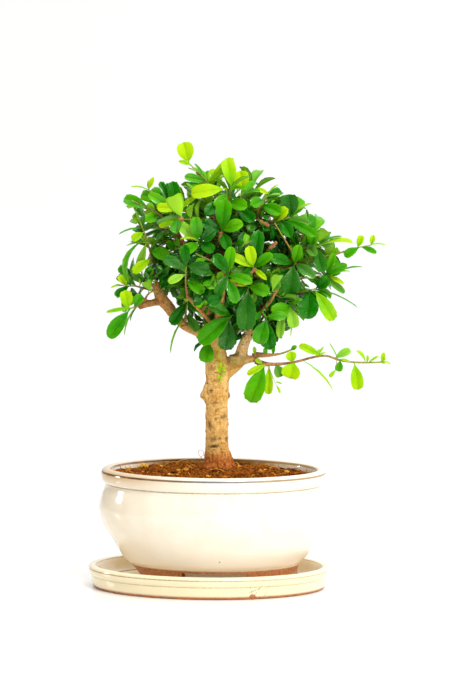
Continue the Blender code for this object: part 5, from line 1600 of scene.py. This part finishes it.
slim = 1 - np.clip((girth - 0.5) / 0.4, 0, 1)
high = np.clip((points[:, 2] - TRUNK_TOP) / 34, 0, 1)
for name, values in {
        "dark": dark,
        "moss": np.maximum(near(17.0, -4.0, 163.0, 5.0), 0.8 * near(22.0, -5.0, 163.5, 3.0)),
        "algae": (near(7.2, -8.0, 157, 3.2) + 0.7 * near(6.5, -8.0, 163, 3.2)
                  + 0.5 * near(6.2, -7.5, 170, 3.5)),
        # Painted light on the limbs by the fork, where the crown shades them.
        "pale": 0.9 * near(22.0, -2.0, 175.0, 10.0) + 0.5 * near(-5.0, -2.0, 180.0, 8.0),
        "damp": np.clip((101 - points[:, 2]) / 9, 0, 1),
        "limb": np.maximum(slim * high, np.clip((0.36 - girth) / 0.1, 0, 1))}.items():
    set_mask(wood, name, values)

# %% [markdown]
# The bark of this species is thin, corky and pale, a golden tan with brown flecks where the outer
# skin is rubbed away. It turns orange-brown just over the soil and brown on the thin high limbs. At
# the start of the big limbs by the fork it is painted paler, as painted light against the crown's
# shade. The grain is noise 1.5 mm wide that is stretched a little up the stem. The flecks are
# stretched round it, nearly 4 mm wide.

# %% Bark material
def thin_bark(name):
    material, tree, shader, place = new_material(name, Roughness=0.85, Specular_IOR_Level=0.15)
    upright, across = (add(tree, "ShaderNodeMapping", {"Vector": place, "Scale": scale})
                       for scale in ((1.0, 1.0, 0.75), (0.6, 0.6, 1.3)))
    limb, pale, damp, dark, moss, algae = (
        add(tree, "ShaderNodeAttribute", output="Fac", attribute_name=label)
        for label in ("limb", "pale", "damp", "dark", "moss", "algae"))
    grain = pattern(upright, 1.5, Detail=6.0, Roughness=0.65)
    fleck = pattern(across, 2.2, Detail=2.5, Distortion=0.6)
    brown = painted("#764A26", ("#BA8246", 1, (grain, 0.35, 0.65)))
    # The colour of the painted light on the limbs by the fork.
    young = painted("#D89C54", ("#FFDCA0", 1, (grain, 0.3, 0.6)))
    orange = painted("#7A3A10", ("#CC7A36", 1, (grain, 0.35, 0.65)))
    green = painted("#4A3A20", ("#6F7A34", 1, (fleck, 0.4, 0.6)))
    colour = painted(
        "#C48E42", ("#E6BA70", 1, (pattern(place, 7.0), 0.38, 0.66)), ("#F0CE8C", 1, (grain, 0.5, 0.75)),
        ("#8E5A22", 1, (grain, 0.45, 0.28)), (brown, limb * 0.8), (young, pale), (orange, damp),
        ("#6E4218", 0.85, (fleck, 0.6, 0.68)), ("#3E2B12", dark), (green, moss, (grain, 0.35, 0.55)),
        ("#C9CE34", algae, (grain, 0.35, 0.6)))
    finish(shader, colour, grain, 0.55, 0.5)
    return material


BARK = thin_bark("thin_corky_bark")
hand_over(wood, "trunk_and_limbs", 180.0, BARK)

# %% [markdown]
# Fine roots run from the foot of the trunk over the soil and dive into it. Each is a short route
# from the stem outwards that waves a little over and under the soil's surface, grown by the same
# tube tree. One thin fibre stands up as a loop at the left of the stem, as in the photo.

# %% Surface roots
ROOTS = 26
ROOT_STEPS = 6
ROOT_WAVE = 0.7
draw = random.Random(5)
strands = []
for index in range(ROOTS):
    angle = 2 * math.pi * index / ROOTS + draw.uniform(-0.12, 0.12)
    length, radius = draw.uniform(5, 22), draw.uniform(0.22, 0.6)
    strand = []
    for step in range(ROOT_STEPS + 1):
        out = STUMP_RADIUS - 2.2 + length * step / ROOT_STEPS
        bend = angle + 0.25 * math.sin(step * 1.3 + index)
        x, y = TRUNK_X + out * math.cos(bend), out * math.sin(bend)
        dive = ROOT_WAVE * math.sin(step * 2.1 + index) - ROOT_WAVE * (step == ROOT_STEPS)
        top = soil_height(x - POT_SHIFT, y) + dive
        strand.append((x, y, max(top, 89.5 - 3 * step) if step < 2 else top, radius * (1 - 0.1 * step)))
    strands.append(strand)
strands.append([(-3.6, -7, 90, 0.2), (-6.2, -8, 93.5, 0.2), (-8.4, -8, 96.5, 0.2), (-7.4, -8, 99, 0.2),
                (-4.8, -8, 98.2, 0.2), (-4.4, -7.5, 95.4, 0.2), (-6.4, -8, 94.0, 0.18)])
roots = grown(route_mesh("surface_roots", [smooth_route(strand, 1.5) for strand in strands]), TUBES,
              Sides=6, Bark=BARK)
set_mask(roots, "damp", np.ones(len(roots.data.vertices)))
hand_over(roots, sharp=60.0)

# %% [markdown]
# A leaf of this plant is spoon-shaped: a wedge from a short stalk to the widest place at two
# thirds, then a round end with a few blunt teeth on old leaves. The shape is made once, flat, in
# shares of length and width. It is a closed lens: two strips on each side of the midrib above, one
# below. Each row says where its edge is, how wide it is, and where its middle lies.

# %% Blade shapes
TOOTHED_ROWS = (
    (0.0, 0.0, 0.0), (0.12, 0.06, 0.12), (0.26, 0.44, 0.24), (0.42, 0.8, 0.38), (0.6, 0.99, 0.54),
    (0.84, 0.92, 0.7), (0.86, 0.8, 0.8), (0.945, 0.63, 0.88), (0.945, 0.45, 0.93),
)
PLAIN_ROWS = (
    (0.0, 0.0, 0.0), (0.12, 0.06, 0.12), (0.26, 0.44, 0.24), (0.42, 0.79, 0.38), (0.58, 0.98, 0.54),
    (0.73, 0.97, 0.68), (0.87, 0.78, 0.81), (0.95, 0.5, 0.91), (0.985, 0.26, 0.96),
)
SMALL_ROWS = ((0.0, 0.0, 0.0), (0.2, 0.4, 0.2), (0.46, 0.97, 0.44), (0.7, 0.93, 0.66), (0.9, 0.55, 0.86))


def blade_shape(name, rows):
    """A flat closed blade; every point keeps its share across, share along and side of the face."""
    body = bmesh.new()
    unit, spread = [], []

    def point(across, share, side, width):
        unit.append((across, share, side))
        spread.append(width)
        return body.verts.new((across * width, share, side * 0.01))

    rings = []
    for edge, width, rib in rows:
        middle = (edge + rib) / 2
        rings.append([point(across, share, side, width) for across, share, side in (
            (-1, edge, 0), (-0.5, middle, 1), (0, rib, 1), (0.5, middle, 1), (1, edge, 0), (0, rib, -1))])
    end = point(0, 1.0, 0, 0.0)
    for near_ring, far_ring in zip(rings, rings[1:] + [[end] * 6]):
        for a, b in zip(range(6), (1, 2, 3, 4, 5, 0)):
            body.faces.new(list(dict.fromkeys((near_ring[a], near_ring[b], far_ring[b], far_ring[a]))))
    body.faces.new(rings[0][::-1])
    bmesh.ops.recalc_face_normals(body, faces=body.faces)
    obj = finished_mesh(name, body)
    set_mask(obj, "unit", unit)
    set_mask(obj, "spread", spread)
    print(name, len(obj.data.polygons), "faces")
    return obj


BLADES = {"Toothed": blade_shape("toothed_blade", TOOTHED_ROWS),
          "Plain": blade_shape("plain_blade", PLAIN_ROWS), "Small": blade_shape("small_blade", SMALL_ROWS)}

# %% [markdown]
# Geometry Nodes put a blade on every leaf's foot and bend it into place. Each foot carries the
# leaf's own directions, length, width and arch, and the tree works out where each point of the flat
# blade goes: forward along a circle, down with the arch, and up on both sides of the midrib. Older
# leaves get a slight wave along their edges. The twig grows along its route in the same tree.

# %% Growing a leafy shoot
def shoot_tree():
    tree, given, result = new_tree(
        "leafy_shoot", Sides=(WHOLE, 8), Half_thickness=(FLOAT, 0.16 * MM), Fold=(FLOAT, 0.4),
        Cushion=(FLOAT, 0.14), Stalk_half_width=(FLOAT, STALK_HALF_WIDTH * MM), Toothed=(OBJECT,),
        Plain=(OBJECT,), Small=(OBJECT,), Blade=(MATERIAL,), Bark=(MATERIAL,))

    spread, kind, is_leaf = (
        add(tree, "GeometryNodeInputNamedAttribute", {"Name": label}, "Attribute", data_type=data)
        for label, data in (("spread", "FLOAT"), ("kind", "INT"), ("is_leaf", "BOOLEAN")))
    unit, size, look, foot, heading, upper = (
        add(tree, "GeometryNodeInputNamedAttribute", {"Name": label}, "Attribute", data_type="FLOAT_VECTOR")
        for label in ("unit", "size", "look", "foot", "heading", "upper"))
    feet, lines = add(tree, "GeometryNodeSeparateGeometry", {
        "Geometry": given["Geometry"], "Selection": is_leaf}, None, domain="POINT").outputs
    blades = shapes_on_points(tree, (given["Small"], given["Plain"], given["Toothed"]), {
        "Points": Signal(feet), "Instance Index": kind})
    real = add(tree, "GeometryNodeRealizeInstances", {"Geometry": blades})

    share_across, share_along, face = unit
    length, half_width, bend = size
    _, phase, wave = look
    turn = bend * share_along
    sine, cosine = turn.step("SINE"), turn.step("COSINE")
    circle = length / bend
    normal = upper * cosine + heading * sine
    side = heading.step("CROSS_PRODUCT", upper)
    reach = spread * (half_width - given["Stalk half width"]) + given["Stalk half width"]
    across = share_across * reach
    flank = share_across.step("ABSOLUTE")
    puff = flank.step("PINGPONG", 0.5) * given["Cushion"] * 2.0 * reach
    ripple = (share_along * 9.0 + phase).step("SINE") * flank * wave * reach
    rise = across.step("ABSOLUTE") * given["Fold"].step("SINE") + puff + ripple
    rise = rise + face * given["Half thickness"]
    place = foot + heading * (circle * sine) + upper * (circle * cosine - circle)
    place = place + side * (across * given["Fold"].step("COSINE")) + normal * rise
    bent = add(tree, "GeometryNodeSetPosition", {"Geometry": real, "Position": place})
    twig = add(tree, "GeometryNodeGroup", {
        "Geometry": Signal(lines), "Sides": given["Sides"], "Bark": given["Bark"]}, node_tree=TUBES)
    green = add(tree, "GeometryNodeSetMaterial", {"Geometry": bent, "Material": given["Blade"]})
    feed(result, Geometry=joined(tree, green, twig))
    return tree


LEAFY_SHOOT = shoot_tree()

# %% [markdown]
# The leaves are thick and waxy. Old ones are dark green and mirror the sky with a bluish gloss,
# young ones are bright lime and softer. Each has a lighter midrib, faint side veins and a paler
# matt underside. Its thin pale edge is partly a paler margin and partly a painted highlight where
# the margin catches light, and each blade is painted darker towards its foot, as painted shade. The
# tiny white specks that this species is known for are about 0.3 mm across, so they are drawn a
# little larger to show. Twigs are brown and turn green to their tips, except the stout old spurs.

# %% Leaf material
def waxy_leaf(name):
    material, tree, shader, place = new_material(
        name, IOR=1.45, Specular_IOR_Level=0.16, Specular_Tint=linear("#E4F0A8"), Coat_Roughness=0.1,
        Coat_IOR=1.45)
    unit, shade = (add(tree, "ShaderNodeAttribute", output="Vector", attribute_name=label)
                   for label in ("unit", "shade"))
    across, share_along, face = unit
    youth, paleness, luck = shade
    flank = across.step("ABSOLUTE")
    under = face.step("LESS_THAN", -0.2)
    # Painted shade: each blade darker towards its foot.
    age = (share_along - 0.6) * 0.18 + ((pattern(place, 5.0) - 0.5) * 0.25 + youth)
    side_veins = ((flank * -0.45 + share_along) * 46.0).step("SINE")
    vein = shown(1, (flank, 0.07, 0.0)).step("MAXIMUM", shown(0.35, (side_veins, 0.82, 1.0)))
    speck = pattern(place, 1.5, "Voronoi", "Distance").step("LESS_THAN", 0.13)
    pale, light, below = (painted(old, (young, youth)) for old, young in (
        ("#749F50", "#B8E050"), ("#3C9010", "#C8F02C"), ("#4C9422", "#A8DC30")))
    colour = painted(
        "#035402", ("#0C6802", 1, (age, 0.0, 0.2)), ("#268200", 1, (age, 0.2, 0.42)),
        ("#4CA000", 1, (age, 0.42, 0.62)), ("#7ABA02", 1, (age, 0.62, 0.82)),
        ("#A4C806", 1, (age, 0.82, 1.0)), (pale, paleness * 0.7), (light, vein * 0.24),
        # Pale edge: partly a paler margin, partly a painted highlight.
        (light, 0.35, (flank, 0.9, 1.0)), ("#C8E8B8", speck * (shown(-0.25, (youth, 0.0, 0.7)) + 0.3)),
        (below, under))
    gloss = (shown(-0.62, (youth, 0.1, 0.8)) + 0.8) * (shown(0.88, (luck, 0.5, 0.9)) + 0.12)
    feed(shader, Roughness=under * 0.3 + paleness * 0.25 + youth * 0.2 + 0.16,
         Coat_Weight=gloss * (under * -1.0 + 1.0))
    finish(shader, colour, vein * -0.6 + pattern(place, 0.9, Detail=2.0), 0.35, 0.25)
    return material


def twig_bark(name):
    material, tree, shader, place = new_material(name, Roughness=0.7, Specular_IOR_Level=0.3)
    grain = pattern(place, 1.4, Detail=5.0, Roughness=0.6)
    young = add(tree, "ShaderNodeAttribute", output="Fac", attribute_name="young")
    brown = painted("#6E4424", ("#B27E48", 1, (grain, 0.35, 0.65)))
    green = painted("#7C7A2E", ("#9DB03C", 1, (grain, 0.35, 0.65)))
    finish(shader, painted(brown, (green, young)), grain, 0.4, 0.3)
    return material


LEAF = waxy_leaf("waxy_bonsai_leaf")
TWIG = twig_bark("young_twig_bark")

# %% [markdown]
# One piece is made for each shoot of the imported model: its lines and feet go in, its twig and
# leaves come out. The twig starts a little inside the wood that carries it and gets thinner than
# the solid's towards its tip, where the real ones are hardly 1 mm thick.

# %% Leafy shoots
ROOT_DEPTH = 1.6
TIP_THICKNESS_SHARE = 0.5
LOW_TWIG_TIP_SHARE = 0.8
SMALL_BLADE_WIDTH = 5
STOUT = 1.1


def fine_twig(stations, tip_share):
    """A closer-spaced route whose thickness falls to the tip and that starts inside the wood."""
    ahead = (stations[1] - stations[0])[:3]
    root = np.append(stations[0][:3] - ahead / np.linalg.norm(ahead) * ROOT_DEPTH, stations[0][3])
    fine = smooth_route([root, *stations], 2.5)
    count = len(fine) - 1
    return [np.append(row[:3], row[3] * (1 - (1 - tip_share) * i / count)) for i, row in enumerate(fine)]


def blade_number(leaf):
    """Which of the three blades a leaf has: toothed, plain or small."""
    return 2 if leaf.width < SMALL_BLADE_WIDTH else 0 if leaf.toothed else 1


def grow_shoots(name, twigs, leaves, draw):
    """Twigs and leaves, each leaf with its age and paleness, as one plain mesh."""
    tip_share = LOW_TWIG_TIP_SHARE if "low_twig" in name else TIP_THICKNESS_SHARE
    routes = [fine_twig(stations, tip_share) for stations in twigs]
    obj = route_mesh(name, routes)
    count = sum(map(len, routes))
    body = bmesh.new()
    body.from_mesh(obj.data)
    rows = {"foot": [], "heading": [], "upper": [], "size": [], "look": [], "shade": []}
    for index, leaf in enumerate(leaves):
        body.verts.new(leaf.base * MM)
        age, pale = age_by_place(leaf, draw)
        luck = random.Random(round(leaf.base.x * 1000) + round(leaf.base.z * 37) + index)
        rows["foot"].append(leaf.base * MM)
        rows["heading"].append(leaf.heading)
        rows["upper"].append(leaf.upper)
        rows["size"].append((leaf.length * MM, leaf.width / 2 * MM, leaf.bend))
        rows["look"].append((age, luck.uniform(0, 6.28), 0.2 * (1 - age)))
        rows["shade"].append((clamped(age + luck.uniform(-0.07, 0.07)), pale, luck.random()))
    body.to_mesh(obj.data)
    body.free()
    for label, values in rows.items():
        set_mask(obj, label, np.vstack([np.zeros((count, 3)), *values]))
    obj.data.attributes.new("kind", "INT", "POINT").data.foreach_set(
        "value", [0] * count + [blade_number(leaf) for leaf in leaves])
    obj.data.attributes.new("is_leaf", "BOOLEAN", "POINT").data.foreach_set(
        "value", [False] * count + [True] * len(leaves))
    set_mask(obj, "young", np.concatenate([
        np.linspace(-0.4, 0.0 if route[-2][3] > STOUT else 1.0, len(route)).clip(0, 1) for route in routes
    ] + [np.zeros(len(leaves))]))
    obj = grown(obj, LEAFY_SHOOT, Blade=LEAF, Bark=TWIG, **BLADES)
    for label in ("foot", "heading", "upper", "size", "look", "kind", "is_leaf", "spread", "thickness"):
        if label in obj.data.attributes:
            obj.data.attributes.remove(obj.data.attributes[label])
    return obj


def age_by_place(leaf, draw):
    """Young leaves stand at the outside and the top of the crown, old ones inside."""
    if leaf.look:
        return leaf.look
    out = leaf.place(1.0, 0, 0) - CROWN_MIDDLE
    share = Vector(a / b for a, b in zip(out, CROWN_HALF)).length
    age = 0.75 * (share - 0.62) + 0.35 * out.z / CROWN_HALF.z + draw.uniform(-0.12, 0.3)
    age += 0.45 * max(0.0, (14 - leaf.length) / 5)
    return min(0.97, max(0.05, age)), draw.choice((0, 0, 0, 0.15, 0.35))


for name, stations in twig_routes.items():
    piece = grow_shoots("leafy_" + name, [stations], shoot_leaves[name] + more_on_shoots[name],
                        random.Random(name + " tint"))
    hand_over(piece, "shoot_" + name, 60.0)

for region, where in enumerate(("front_left", "front_right", "back_right", "back_left")):
    names = [name for name, stations in extra_twigs.items()
             if (stations[-1][1] > 0) * 2 + ((stations[-1][0] > 13) != (stations[-1][1] > 0)) == region]
    leaves = [leaf for name in names for leaf in extra_shoot_leaves[name]]
    piece = grow_shoots("leafage_" + where, [extra_twigs[name] for name in names], leaves,
                        random.Random(region))
    hand_over(piece, sharp=60.0)

for shape in BLADES.values():
    bpy.data.objects.remove(shape, do_unlink=True)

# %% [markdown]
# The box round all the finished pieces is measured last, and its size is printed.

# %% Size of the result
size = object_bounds()
({"cad": [list(corner) for corner in cad_box],
           "visual": [list(corner) for corner in size]})
print("visual size in mm", [round(side / MM, 1) for side in size[1] - size[0]])
